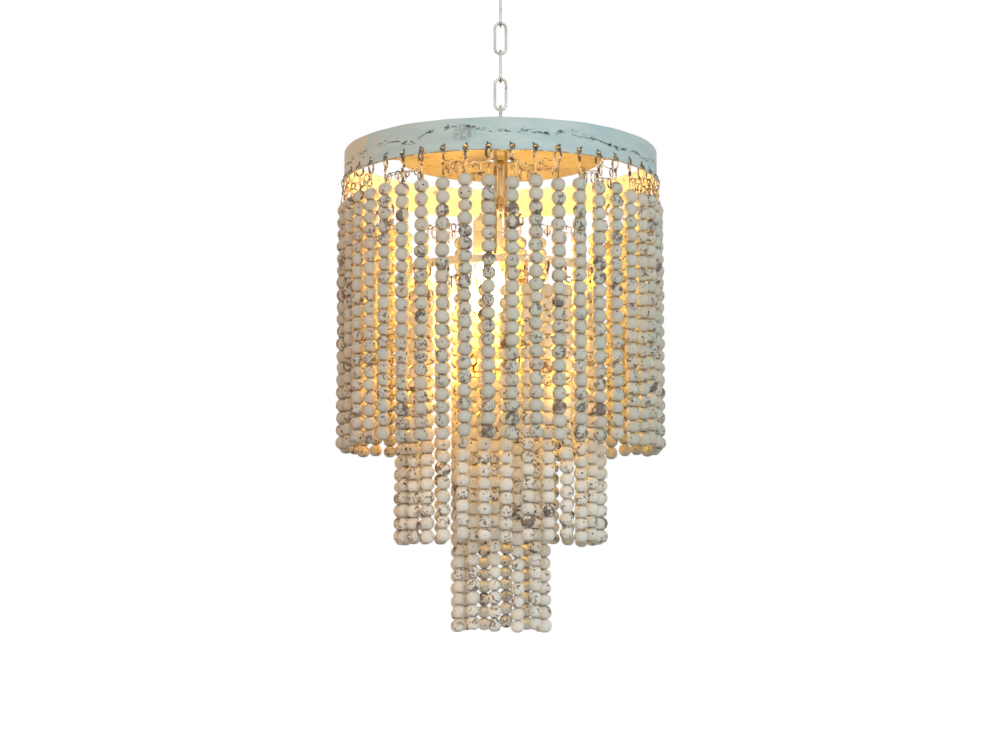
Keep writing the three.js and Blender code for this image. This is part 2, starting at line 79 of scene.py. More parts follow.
# One mesh object from points and faces. The faces may be arrays of quads or lists of longer ones.
def addPiece(name, points, faces, material, smooth=True):
    mesh = bpy.data.meshes.new(name)
    mesh.from_pydata(np.reshape(points, (-1, 3)).tolist(), [], [list(map(int, face)) for face in faces])
    mesh.polygons.foreach_set("use_smooth", np.full(len(mesh.polygons), smooth))
    mesh.materials.append(material)
    mesh.update()
    return addObject(name, mesh)


# Stands a finished piece for its CAD node, on its body.
def standFor(piece, body, node):
    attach(piece, body)
    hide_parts(node)


# Several grids of points joined into one list of points and faces.
def joinParts(parts):
    points, faces, start = [], [], 0
    for partPoints, partFaces in parts:
        flat = np.reshape(partPoints, (-1, np.shape(partPoints)[-1]))
        points.append(flat)
        faces.extend((np.asarray(face) + start).tolist() for face in partFaces)
        start += len(flat)
    return np.concatenate(points), faces


# A round section carried along a path: each point is the path's point plus the radius times
# the cosine and sine of the section's angle along two directions square to the path.
def tubeAlong(path, radius, sides, closed=False, side=(0.0, 1.0, 0.0)):
    along = np.roll(path, -1, 0) - np.roll(path, 1, 0) if closed else np.gradient(path, axis=0)
    along /= np.linalg.norm(along, axis=1, keepdims=True)
    first = np.cross(along, side)
    weak = np.linalg.norm(first, axis=1, keepdims=True) < 1e-6
    first = np.where(weak, np.cross(along, rightward), first)
    first /= np.linalg.norm(first, axis=1, keepdims=True)
    second = np.cross(along, first)
    angle = stepsRound(sides)
    size = np.broadcast_to(radius, len(path))[:, None, None]
    ring = np.cos(angle)[:, None] * first[:, None] + np.sin(angle)[:, None] * second[:, None]
    faces = gridFaces(len(path), sides, wrapRows=closed).tolist()
    if not closed:
        faces.append(list(range(sides))[::-1])
        faces.append([(len(path) - 1) * sides + k for k in range(sides)])
    return path[:, None] + size * ring, faces


# A turned surface: each [radius, height] pair of the profile is swept round a vertical axis.
# The profile runs up the outer side, and pairs at radius 0 close into poles.
def turnedSurface(profile, steps, centre=(0, 0), closed=False, shape=None):
    profile = np.asarray(profile, float)
    angle = stepsRound(steps)
    radius = np.broadcast_to(profile[:, :1], (len(profile), steps))
    height = np.broadcast_to(profile[:, 1:], radius.shape)
    if shape is not None:
        radius = shape(radius, height, angle)
    points = [centre[0] + radius * np.cos(angle), centre[1] + radius * np.sin(angle), height]
    return np.stack(points, axis=-1), gridFaces(len(profile), steps, wrapRows=closed).tolist()


# A straight wall of a profile in many rows, for threads and flutes.
def wall(radius, low, high, rows):
    return np.stack([np.full(rows, radius), np.linspace(low, high, rows)], -1)


# A rounded version of a profile: each corner is replaced by a short arc through its neighbours,
# which takes up less than half of each side.
def softened(profile, reach, steps=2, closed=False):
    profile = np.asarray(profile, float)
    count = len(profile)
    rounded = []
    for k in range(count):
        here = profile[k]
        if not closed and k in (0, count - 1):
            rounded.append(here)
            continue
        before, after = profile[k - 1] - here, profile[(k + 1) % count] - here
        longBefore, longAfter = np.linalg.norm(before), np.linalg.norm(after)
        cut = min(reach, 0.45 * longBefore, 0.45 * longAfter)
        start = here + before / longBefore * cut
        end = here + after / longAfter * cut
        for share in np.linspace(0, 1, steps + 1):
            rounded.append((1 - share) ** 2 * start + 2 * share * (1 - share) * here + share ** 2 * end)
    return np.array(rounded)


# Doubled points are merged, the faces are turned outwards, and those that lie flat within some degrees
# of each other are joined.
def weld(piece, reach=1e-6, outwards=True, flatWithin=None):
    work = bmesh.new()
    work.from_mesh(piece.data)
    bmesh.ops.remove_doubles(work, verts=work.verts, dist=reach)
    bmesh.ops.dissolve_degenerate(work, edges=work.edges, dist=1e-7)
    if outwards:
        bmesh.ops.recalc_face_normals(work, faces=work.faces)
    if flatWithin:
        angle = math.radians(flatWithin)
        bmesh.ops.dissolve_limit(work, angle_limit=angle, verts=work.verts, edges=work.edges)
    work.to_mesh(piece.data)
    work.free()
    piece.data.update()
    return piece


def addTurned(name, profile, material, steps, centre=(0, 0), closed=False, shape=None):
    return weld(addPiece(name, *turnedSurface(profile, steps, centre, closed, shape), material))


# A piece's live modifiers become its mesh.
def settle(piece):
    bpy.context.view_layer.update()
    finished = bpy.data.meshes.new_from_object(piece.evaluated_get(bpy.context.evaluated_depsgraph_get()))
    finished.name = piece.name
    piece.modifiers.clear()
    piece.data = finished
    return piece


def easeEdges(piece, width, sharpFrom, evenShading):
    bevel = piece.modifiers.new("easedEdges", "BEVEL")
    bevel.width = width
    bevel.segments = 2
    bevel.limit_method = "ANGLE"
    bevel.angle_limit = math.radians(sharpFrom)
    bevel.harden_normals = evenShading
    return settle(piece)


# A merged copy of a CAD node with its edges eased.
easePlan = {"width": 0.0004, "sharpFrom": 35, "flatWithin": 2, "reach": 1e-5}


def easedCopy(node, material):
    piece = addObject(f"{node}_eased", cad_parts[node].data.copy())
    weld(piece, easePlan["reach"], flatWithin=easePlan["flatWithin"])
    piece.data.materials.clear()
    piece.data.materials.append(material)
    piece.data.polygons.foreach_set("use_smooth", np.ones(len(piece.data.polygons), bool))
    return easeEdges(piece, easePlan["width"], easePlan["sharpFrom"], True)


print("helpers ready")


# Shader nodes: a small bench that adds a node, sets its settings and links or fills its sockets.
class NodeBench:
    def __init__(self, tree):
        self.tree = tree

    def add(self, kind, sockets=None, **settings):
        node = self.tree.nodes.new(kind)
        for key, value in settings.items():
            setattr(node, key, value)
        for key, value in (sockets or {}).items():
            self.fill(node.inputs[key], value)
        return node

    def fill(self, socket, value):
        if isinstance(value, bpy.types.NodeSocket):
            self.tree.links.new(value, socket)
        else:
            socket.default_value = value

    def work(self, operation, a, b=0.0):
        return self.add("ShaderNodeMath", {0: a, 1: b}, operation=operation).outputs[0]

    def times(self, a, b):
        return self.work("MULTIPLY", a, b)

    def plus(self, a, b):
        return self.work("ADD", a, b)

    def less(self, a, b):
        return self.work("SUBTRACT", a, b)

    def apart(self, a, b):
        return self.work("ABSOLUTE", self.less(a, b))

    def most(self, first, *others):
        for other in others:
            first = self.work("MAXIMUM", first, other)
        return first

    def squares(self, a, b):
        return self.plus(self.work("POWER", a, 2.0), self.work("POWER", b, 2.0))

    def ramp(self, value, low, high, outLow=0.0, outHigh=1.0):
        sockets = {"Value": value, "From Min": low, "From Max": high, "To Min": outLow, "To Max": outHigh}
        return self.add("ShaderNodeMapRange", sockets, interpolation_type="SMOOTHSTEP").outputs[0]

    def blend(self, share, first, second):
        return self.add("ShaderNodeMix", {0: share, 6: first, 7: second}, data_type="RGBA").outputs[2]

    def noise(self, vector, scale, detail=4.0, roughness=0.55, distortion=0.0):
        sockets = {"Vector": vector, "Scale": scale, "Detail": detail}
        sockets.update({"Roughness": roughness, "Distortion": distortion})
        return self.add("ShaderNodeTexNoise", sockets).outputs["Fac"]

    # Patches of noise: its share between two levels, given out from outLow to outHigh.
    def patchy(self, vector, scale, low, high, outLow=0.0, outHigh=1.0, detail=4.0, roughness=0.55):
        return self.ramp(self.noise(vector, scale, detail, roughness), low, high, outLow, outHigh)

    def effect(self, name, **sockets):
        node = self.add("ShaderNodeGroup", node_tree=bpy.data.node_groups[name])
        for key, value in sockets.items():
            self.fill(node.inputs[key], value)
        return node.outputs[0]

    def stretched(self, vector, scale):
        return self.add("ShaderNodeMapping", {"Vector": vector, "Scale": scale}).outputs[0]

    def objectPlace(self):
        return self.add("ShaderNodeTexCoord").outputs["Object"]

    def attribute(self, name):
        return self.add("ShaderNodeAttribute", attribute_name=name).outputs["Vector"]

    def split(self, vector):
        return self.add("ShaderNodeSeparateXYZ", {0: vector}).outputs


# A shared effect: a node group with named inputs and one output.
def newEffect(name, inputs, output):
    tree = bpy.data.node_groups.new(name, "ShaderNodeTree")
    for label, value in inputs.items():
        kind = "NodeSocketVector" if value is None else "NodeSocketFloat"
        if isinstance(value, tuple):
            kind = "NodeSocketColor"
        socket = tree.interface.new_socket(name=label, in_out="INPUT", socket_type=kind)
        if value is not None:
            socket.default_value = value
    kind = "NodeSocketColor" if output == "Colour" else "NodeSocketFloat"
    tree.interface.new_socket(name=output, in_out="OUTPUT", socket_type=kind)
    bench = NodeBench(tree)
    return bench, bench.add("NodeGroupInput").outputs, bench.add("NodeGroupOutput").inputs[0]


# Patches where paint or plating is worn off: noise above a level that falls as Amount grows.
bench, given, result = newEffect(
    "wornPatches", {"Vector": None, "Scale": 2.0, "Amount": 0.5, "Edge": 0.04, "Detail": 4.0}, "Mask")
field = bench.noise(given["Vector"], given["Scale"], given["Detail"], 0.6)
level = bench.less(0.76, bench.times(given["Amount"], 0.4))
bench.fill(result, bench.ramp(field, level, bench.plus(level, given["Edge"])))

# Thin curved cracks and scratches: where a smooth field crosses its middle value, in some places only.
bench, given, result = newEffect(
    "thinCracks", {"Vector": None, "Scale": 2.0, "Width": 0.02, "Amount": 0.5}, "Mask")
field = bench.noise(given["Vector"], given["Scale"], 2.0, 0.5, 0.6)
line = bench.ramp(bench.apart(field, 0.5), given["Width"], bench.times(given["Width"], 0.3))
where = bench.noise(given["Vector"], bench.times(given["Scale"], 0.7), 1.0)
level = bench.less(0.72, bench.times(given["Amount"], 0.36))
bench.fill(result, bench.times(line, bench.ramp(where, level, bench.plus(level, 0.06))))

# Round specks: cells of random points, of which the given share has a dot of the given radius.
bench, given, result = newEffect(
    "specks", {"Vector": None, "Scale": 3.0, "Radius": 0.2, "Share": 0.4}, "Mask")
cells = bench.add("ShaderNodeTexVoronoi", {"Vector": given["Vector"], "Scale": given["Scale"]})
dot = bench.ramp(cells.outputs["Distance"], given["Radius"], bench.times(given["Radius"], 0.6))
draw = bench.add("ShaderNodeSeparateColor", {"Color": cells.outputs["Color"]}).outputs[0]
bench.fill(result, bench.times(dot, bench.work("LESS_THAN", draw, given["Share"])))

# Slow drift between two colours over a surface.
bench, given, result = newEffect(
    "colourDrift",
    {"Vector": None, "Scale": 2.0, "First": (0.5, 0.5, 0.5, 1), "Second": (0.6, 0.6, 0.6, 1), "Lean": 0.0},
    "Colour",
)
field = bench.noise(given["Vector"], given["Scale"], 3.0)
share = bench.plus(bench.ramp(field, 0.32, 0.68), given["Lean"])
bench.fill(result, bench.blend(share, given["First"], given["Second"]))

# Fine surface grain as a height: coarse and fine noise together.
bench, given, result = newEffect("surfaceGrain", {"Vector": None, "Scale": 40.0, "Fine": 0.4}, "Height")
coarse = bench.noise(given["Vector"], given["Scale"], 3.0)
fine = bench.noise(given["Vector"], bench.times(given["Scale"], 6.0), 2.0)
bench.fill(result, bench.plus(coarse, bench.times(fine, given["Fine"])))


def newMaterial(name, **values):
    material = bpy.data.materials.new(name)
    material.use_nodes = True
    surface = material.node_tree.nodes["Principled BSDF"]
    for key, value in values.items():
        surface.inputs[key].default_value = value
    return material, NodeBench(material.node_tree), surface


# Feeds a surface its colour, its relief as a height in steps of depth, and its roughness.
def dress(bench, surface, colour, relief=None, depth=0.0, roughness=None):
    bench.fill(surface.inputs["Base Color"], colour)
    if relief is not None:
        bump = bench.add("ShaderNodeBump", {"Height": relief, "Distance": depth})
        bench.fill(surface.inputs["Normal"], bump.outputs[0])
    if roughness is not None:
        bench.fill(surface.inputs["Roughness"], roughness)


# Whitewashed wooden beads: grey-green to tan paint with small marks where the wood shows. beadPlace is
# the bead's own place in the pattern, beadTraits its wear, brownness and paleness, and beadShade the share
# of the way from its waist to its ends, its tint, and the size of its one large stain.
beadFinish = {
    "greyPaint": (0.52, 0.54, 0.46, 1),
    "tanPaint": (0.58, 0.52, 0.43, 1),
    "palePaint": (0.88, 0.86, 0.78, 1),
    # painted shade where beads touch, with some grime: the dark colour the bead ends turn towards
    "endShadeAndGrime": (0.22, 0.15, 0.095, 1),
    "darkWood": (0.060, 0.048, 0.040, 1),
    "greyWood": (0.20, 0.17, 0.145, 1),
    "brownWood": (0.33, 0.20, 0.11, 1),
    "drift": {"Scale": 0.6},
    "blots": {"Scale": 1.5, "Edge": 0.06, "Detail": 2.5},
    "stain": {"Scale": 0.75, "Edge": 0.07, "Detail": 5.0},
    "strokes": {"Scale": 0.85, "Width": 0.042},
    "dots": {"Scale": 0.95, "Radius": 0.17},
    "grain": {"Scale": 5.0, "Fine": 0.5},
    "endShadeReach": (0.72, 1.0),
    "endShadePlaces": (1.4, 0.3, 0.7, 0.2, 0.65),
    "bareness": 0.92,
    "roughness": (0.62, 0.8),
    "relief": 0.00018,
}
woodBeads, bench, surface = newMaterial("whitewashedWood", **{"Specular IOR Level": 0.3})
place = bench.attribute("beadPlace")
wear, brown, pale = bench.split(bench.attribute("beadTraits"))
rise, tint, stain = bench.split(bench.attribute("beadShade"))
paint = bench.effect("colourDrift", Vector=place, First=beadFinish["greyPaint"],
                     Second=beadFinish["tanPaint"], Lean=tint, **beadFinish["drift"])
paint = bench.blend(pale, paint, beadFinish["palePaint"])
# Painted shade: the ends of each bead, where it touches the next, darken in patches. This stands in for shade
# in the creases between beads, with some grime.
grime = bench.patchy(place, *beadFinish["endShadePlaces"])
grime = bench.times(bench.ramp(rise, *beadFinish["endShadeReach"]), grime)
paint = bench.blend(grime, paint, beadFinish["endShadeAndGrime"])
blots = bench.effect("wornPatches", Vector=place, Amount=wear, **beadFinish["blots"])
large = bench.effect("wornPatches", Vector=place, Amount=stain, **beadFinish["stain"])
strokes = bench.effect("thinCracks", Vector=place, Amount=bench.times(wear, 1.4), **beadFinish["strokes"])
dots = bench.effect("specks", Vector=place, Share=bench.times(wear, 1.3), **beadFinish["dots"])
woodTone = bench.patchy(place, 2.8, 0.36, 0.58, detail=3.0, roughness=0.6)
wood = bench.blend(woodTone, beadFinish["darkWood"], beadFinish["greyWood"])
wood = bench.blend(brown, wood, beadFinish["brownWood"])
worn = bench.most(blots, large, strokes)
colour = bench.blend(bench.times(worn, beadFinish["bareness"]), paint, wood)
colour = bench.blend(dots, colour, beadFinish["darkWood"])
worn = bench.most(worn, dots)
grain = bench.effect("surfaceGrain", Vector=place, **beadFinish["grain"])
relief = bench.less(bench.times(grain, 0.35), worn)
roughness = bench.ramp(worn, 0.0, 1.0, *beadFinish["roughness"])
dress(bench, surface, colour, relief, beadFinish["relief"], roughness)

# Blackened wire with rubbed brass showing. It is kept dark above the band's lower edge, where the outer loops
# pass through its holes: painted shade in the holes. The bright brass below is partly real wear and partly
# painted glow of the bulb's light.
wireFinish = {"black": (0.10, 0.075, 0.05, 1), "brass": (0.86, 0.66, 0.38, 1), "holeShadeReach": (-0.3268, -0.3298)}
darkWire, bench, surface = newMaterial("blackenedWire", Metallic=0.55, Roughness=0.42)
where = bench.objectPlace()
rubbed = bench.effect("wornPatches", Vector=where, Scale=140.0, Amount=0.85, Edge=0.16, Detail=3.0)
# Painted shade: above the band's lower edge the rubbed brass is cut to a fifth.
holeShadeMask = bench.ramp(bench.split(where)[2], *wireFinish["holeShadeReach"], 0.2)
colour = bench.blend(bench.times(rubbed, holeShadeMask), wireFinish["black"], wireFinish["brass"])
dress(bench, surface, colour, bench.effect("surfaceGrain", Vector=where, Scale=900.0, Fine=0.3), 0.00006)

# Distressed paint of the outer band. Its pattern runs in metres: along the band from the front centre, and
# up from its lower edge. Inside, the sheet is bare and cream.
bandFinish = {
    "radius": 0.1999,
    "foot": -0.32705,
    "paint": (0.42, 0.56, 0.56, 1),
    "fadedPaint": (0.52, 0.62, 0.60, 1),
    # painted warm light: the colour the band's paint turns towards on its left side, as if lit warm from the
    # left
    "warmLitPaint": (0.70, 0.58, 0.40, 1),
    "warmLitReach": (-0.165, -0.215),  # along the band, from the front centre to the left
    "warmLitEnd": (-0.56, -0.40),  # and its other end, towards the back
    "edgeWander": (45.0, 0.3, 0.7, -0.03, 0.03),
    "inside": (0.82, 0.86, 0.74, 1),
    "chip": (0.035, 0.035, 0.038, 1),
    "grime": (0.24, 0.25, 0.24, 1),
    "rust": (0.32, 0.17, 0.07, 1),
    "chipRow": (0.0185, 0.0260),  # height of the row of chips at the sides and near the front centre
    "chipSpread": (0.0048, 0.0008),
    "rowWander": (14.0, 0.3, 0.7, -0.004, 0.004),
    "linePlaces": (75.0, 0.47, 0.6, 0.0, 0.7),
    "lineReach": (0.0013, 0.0004),
    "centreReach": (0.115, 0.080),
    "smudge": (-0.0437, 0.0215),
    "smudgeReach": (0.015, 0.011),
    "smudgePlaces": (230.0, 0.34, 0.6),
    "holeSpacing": 0.02791,
    "holeHeight": 0.005,
    "holeRing": (0.0046, 0.0028),
    "ringPlaces": (210.0, 0.34, 0.56),
    "tickSlant": (17.0, 0.35, 0.65, -0.7, 0.7),
    "tickWidth": (0.0016, 0.0007),
    "tickReach": (0.0062, 0.0040),
    "rustReach": (0.0024, 0.0004),
    "rustPlaces": (120.0, 0.38, 0.55),
    "insideSpots": (60.0, 0.55, 0.7, 0.0, 0.5),
    "sheetInside": (0.1991, 0.1987),
    "driftPattern": (18.0, 90.0, 1.0),  # along and up, per metre
    "chipPattern": (100.0, 250.0, 1.0),
    "scratchPattern": (60.0, 170.0, 1.0),
    "roughness": (0.5, 0.8),
    "relief": 0.0003,
}
bandPaint, bench, surface = newMaterial("distressedPaint", Roughness=0.55)
where = bench.objectPlace()
xPart, yPart, zPart = bench.split(where)
along = bench.times(bench.work("ARCTAN2", xPart, bench.times(yPart, -1.0)), bandFinish["radius"])
up = bench.less(zPart, bandFinish["foot"])
flat = bench.add("ShaderNodeCombineXYZ", {0: along, 1: up}).outputs[0]
paint = bench.effect("colourDrift", Vector=bench.stretched(flat, bandFinish["driftPattern"]), Scale=1.0,
                     First=bandFinish["paint"], Second=bandFinish["fadedPaint"])
# Painted warm light: the band's left side, from near the front centre round towards the back, is tinted warm
# for the warm light from the left.
edge = bench.plus(along, bench.patchy(flat, *bandFinish["edgeWander"], detail=3.0))
warmLitPaint = bench.ramp(edge, *bandFinish["warmLitReach"], 0.0, 0.7)
warmLitPaint = bench.times(warmLitPaint, bench.ramp(edge, *bandFinish["warmLitEnd"]))
paint = bench.blend(warmLitPaint, paint, bandFinish["warmLitPaint"])

# Chips, scratches and a fine line along the row, and stray specks.
nearCentre = bench.ramp(bench.work("ABSOLUTE", along), *bandFinish["centreReach"])
drift = bench.patchy(flat, *bandFinish["rowWander"], detail=1.0)
rowHeight = bench.plus(bench.ramp(nearCentre, 0.0, 1.0, *bandFinish["chipRow"]), drift)
offRow = bench.apart(up, rowHeight)
rowMask = bench.ramp(offRow, *bandFinish["chipSpread"])
chips = bench.effect("wornPatches", Vector=bench.stretched(flat, bandFinish["chipPattern"]), Scale=1.0,
                     Amount=0.50, Edge=0.05, Detail=5.0)
scratches = bench.effect("thinCracks", Vector=bench.stretched(flat, bandFinish["scratchPattern"]), Scale=1.0)
strays = bench.effect("specks", Vector=flat, Scale=90.0, Radius=0.14, Share=0.16)
rowLine = bench.ramp(offRow, *bandFinish["lineReach"])
rowLine = bench.times(rowLine, bench.patchy(flat, *bandFinish["linePlaces"]))

# Dark rings round the holes, partly rubbed paint and partly painted shade at the hole rims, and a slanting
# tick over each.
besideHole = bench.work("FLOORED_MODULO", along, bandFinish["holeSpacing"])
besideHole = bench.less(besideHole, bandFinish["holeSpacing"] / 2)
overHole = bench.less(up, bandFinish["holeHeight"])
offHole = bench.work("SQRT", bench.squares(besideHole, overHole))
# The dark ring round each hole: rubbed paint, and painted shade darkening the hole rim.
ring = bench.ramp(offHole, *bandFinish["holeRing"])
ring = bench.times(ring, bench.patchy(flat, *bandFinish["ringPlaces"]))
slant = bench.patchy(flat, *bandFinish["tickSlant"], detail=0.0)
offTick = bench.apart(besideHole, bench.times(overHole, slant))
tickHeight = bench.times(bench.ramp(overHole, *bandFinish["tickReach"]), bench.ramp(overHole, 0.0, 0.001))
tick = bench.times(bench.ramp(offTick, *bandFinish["tickWidth"]), tickHeight)

# A smudge left of the centre, rust on the lower edge, and then the dark marks over both.
smudgeAlong = bench.work("DIVIDE", bench.less(along, bandFinish["smudge"][0]), bandFinish["smudgeReach"][0])
smudgeUp = bench.work("DIVIDE", bench.less(up, bandFinish["smudge"][1]), bandFinish["smudgeReach"][1])
smudge = bench.ramp(bench.squares(smudgeAlong, smudgeUp), 1.4, 0.0)
smudge = bench.times(smudge, bench.patchy(flat, *bandFinish["smudgePlaces"]))
colour = bench.blend(bench.times(smudge, 0.75), paint, bandFinish["grime"])
edgeRust = bench.ramp(up, *bandFinish["rustReach"])
edgeRust = bench.times(edgeRust, bench.patchy(flat, *bandFinish["rustPlaces"]))
colour = bench.blend(edgeRust, colour, bandFinish["rust"])
dark = bench.most(bench.times(bench.most(chips, scratches), rowMask), rowLine, strays, ring, tick)
colour = bench.blend(dark, colour, bandFinish["chip"])
outwards = bench.work("SQRT", bench.squares(xPart, yPart))
inside = bench.ramp(outwards, *bandFinish["sheetInside"])
spots = bench.patchy(where, *bandFinish["insideSpots"])
colour = bench.blend(inside, colour, bench.blend(spots, bandFinish["inside"], bandFinish["rust"]))
grain = bench.effect("surfaceGrain", Vector=flat, Scale=180.0, Fine=0.3)
relief = bench.less(bench.times(grain, 0.5), dark)
roughness = bench.ramp(dark, 0.0, 1.0, *bandFinish["roughness"])
dress(bench, surface, colour, relief, bandFinish["relief"], roughness)


# Metal finishes on Object coordinates: plating or paint that is rubbed and grained.
def metalFinish(name, first, second, metallic, roughness, wornColour, amount, grainScale=500.0):
    material, bench, surface = newMaterial(name, Metallic=metallic)
    where = bench.objectPlace()
    colour = bench.effect("colourDrift", Vector=where, Scale=28.0, First=first, Second=second)
    worn = bench.effect("wornPatches", Vector=where, Scale=110.0, Amount=amount, Edge=0.08)
    colour = bench.blend(worn, colour, wornColour)
    relief = bench.less(bench.effect("surfaceGrain", Vector=where, Scale=grainScale, Fine=0.4), worn)
    dress(bench, surface, colour, relief, 0.00008, bench.ramp(worn, 0.0, 1.0, roughness, roughness + 0.25))
    return material


agedBrass = metalFinish(
    "agedBrass", (0.55, 0.40, 0.20, 1), (0.40, 0.28, 0.13, 1), 0.9, 0.36, (0.16, 0.11, 0.06, 1), 0.4)
paleNickel = metalFinish(
    "paleNickel", (0.58, 0.57, 0.54, 1), (0.48, 0.47, 0.44, 1), 0.85, 0.34, (0.30, 0.28, 0.25, 1), 0.45)
hoopMetal = metalFinish("agedHoopPaint", (0.36, 0.33, 0.26, 1), (0.30, 0.26, 0.19, 1), 0.15, 0.55,
                        (0.18, 0.12, 0.07, 1), 0.44, grainScale=300.0)
creamHoop = metalFinish("creamHoopPaint", (0.86, 0.82, 0.66, 1), (0.78, 0.72, 0.56, 1), 0.0, 0.5,
                        (0.34, 0.24, 0.14, 1), 0.40, grainScale=300.0)

# Cream moulded plastic, faintly mottled.
holderCream, bench, surface = newMaterial("creamPlastic", Roughness=0.42)
where = bench.objectPlace()
colour = bench.effect(
    "colourDrift", Vector=where, Scale=60.0, First=(0.82, 0.76, 0.60, 1), Second=(0.87, 0.82, 0.68, 1))
dress(bench, surface, colour, bench.effect("surfaceGrain", Vector=where, Scale=800.0, Fine=0.5), 0.00005)

# Glazed porcelain.
porcelain, bench, surface = newMaterial("glazedPorcelain", **{"Coat Weight": 0.4})
where = bench.objectPlace()
colour = bench.effect(
    "colourDrift", Vector=where, Scale=90.0, First=(0.86, 0.84, 0.79, 1), Second=(0.80, 0.77, 0.70, 1))
dress(bench, surface, colour, roughness=bench.patchy(where, 300.0, 0.3, 0.7, 0.18, 0.3))

# The lit bulb: frosted glass that glows, a little less near its neck.
bulbGlow = {
    "glass": (0.95, 0.88, 0.75, 1),
    "colour": (1.0, 0.54, 0.085, 1),
    "unlit": (0.0, 0.0, 0.0, 1),
    "strength": 175.0,
    "neckLevel": 0.25,
    "neckReach": (-0.428, -0.452),
}
litGlass, bench, surface = newMaterial("litFrostedGlass", Roughness=0.35, **{
    "Base Color": bulbGlow["glass"],
    "Emission Strength": bulbGlow["strength"],
})
where = bench.objectPlace()
glow = bench.ramp(bench.split(where)[2], *bulbGlow["neckReach"], bulbGlow["neckLevel"])
frost = bench.patchy(where, 160.0, 0.3, 0.7, 0.94, 1.0)
dimmed = bench.blend(bench.times(glow, frost), bulbGlow["unlit"], bulbGlow["colour"])
bench.fill(surface.inputs["Emission Color"], dimmed)
print("materials ready")


# Bead strings. A bead is a full arc turned about its string, cut flat at both ends where the next bead
# touches it. Radius and height along the arc are its cosine and sine, each raised to 2 / fullness.
# pale is each tier's share of pale paint. The middle and inner tiers are paler as painted light, for the
# brighter light they get from below and the front.
tierPlans = {
    "outer": {"groups": 15, "turned": 0.0, "pale": 0.0,
              "hang": 0.19925, "hinge": -0.3258, "beadTop": -0.35605},
    "middle": {"groups": 10, "turned": -0.25, "pale": 0.6,
               "hang": 0.12525, "hinge": -0.4458, "beadTop": -0.47305},
    "inner": {"groups": 4, "turned": 0.25, "pale": 0.7,
              "hang": 0.05425, "hinge": -0.5528, "beadTop": -0.58005},
}
stringsPerGroup = 3
beadPlan = {
    "count": 20,
    "pitch": 0.0155,
    "radius": 0.0085,
    "flat": 0.0030,  # radius of the flat where two beads touch
    "fullness": 2.2,  # 2 is a circle's arc, more is squarer
    "around": 14,
    "rings": 8,
    "heightSpread": 0.08,
    "radiusSpread": 0.04,
    "dropSpread": 0.003,  # most that a whole string hangs higher or lower
    "lean": (0.0012, 0.0004),  # most that a string's foot stands off, outwards and sideways
    "wobble": 0.00022,
    "wobbleMost": 1.6,
    "patternReach": 400,
}
beadLooks = {
    "plainShare": 0.36,
    "plainWear": 0.16,
    "wear": (0.26, 0.50),
    "brownShare": 0.07,
    "brown": (0.3, 0.9),
    "faintBrown": (0.0, 0.2),
    "paleSpread": 0.16,
    "tint": (-0.55, 0.12),
    "stainShare": 0.10,
    "stain": (0.55, 0.75),
    # Painted warm light: towards the lamp's left side the beads get a tanner tint and browner bare wood for
    # the warm light from the left, and a little more real wear.
    "leftWarmTintAndWear": {"wear": 0.05, "brown": 0.35, "tint": 0.75},  # added towards the lamp's left side
}


def stringSpacing(plan):
    return turn / (plan["groups"] * stringsPerGroup)


def stringAngles(plan):
    number = np.arange(plan["groups"] * stringsPerGroup)
    return front + stringSpacing(plan) * (number + 0.5 + plan["turned"])


# All beads of some strings at once: arrays of [string, bead, ring, step round].
def beadArrays(plan, angles, drops):
    shape = (len(angles), beadPlan["count"])
    heights = 1 + beadPlan["heightSpread"] * rng.uniform(-1, 1, shape)
    heights *= beadPlan["count"] * beadPlan["pitch"] / heights.sum(1, keepdims=True)
    middle = plan["beadTop"] - drops[:, None] - np.cumsum(heights, 1) + heights / 2
    radius = beadPlan["radius"] * (1 + beadPlan["radiusSpread"] * rng.uniform(-1, 1, shape))
    lean = rng.uniform(-1, 1, (shape[0], 1, 2)) * beadPlan["lean"] * np.linspace(0, 1, shape[1])[:, None]
    wobble = rng.normal(0, 1, shape + (2,)).clip(-beadPlan["wobbleMost"], beadPlan["wobbleMost"])
    aside = lean + beadPlan["wobble"] * wobble
    outwards = facing(angles)[:, None]
    centre = (plan["hang"] + aside[..., :1]) * outwards + aside[..., 1:] * np.cross(upward, outwards)
    centre = centre + middle[..., None] * upward
    power = 2 / beadPlan["fullness"]
    highest = math.acos((beadPlan["flat"] / beadPlan["radius"]) ** (1 / power))
    rise = np.linspace(-highest, highest, beadPlan["rings"])
    step = stepsRound(beadPlan["around"]) + rng.uniform(0, turn, shape + (1, 1))
    level = np.sign(rise) * np.abs(np.sin(rise)) ** power / math.sin(highest) ** power / 2
    ring = radius[..., None, None] * (np.cos(rise) ** power)[:, None]
    height = heights[..., None, None] * level[:, None]
    local = np.stack(np.broadcast_arrays(ring * np.cos(step), ring * np.sin(step), height), axis=-1)
    pattern = local / beadPlan["radius"] + rng.uniform(0, beadPlan["patternReach"], shape + (1, 1, 3))
    return local + centre[:, :, None, None], pattern, np.abs(level) * 2


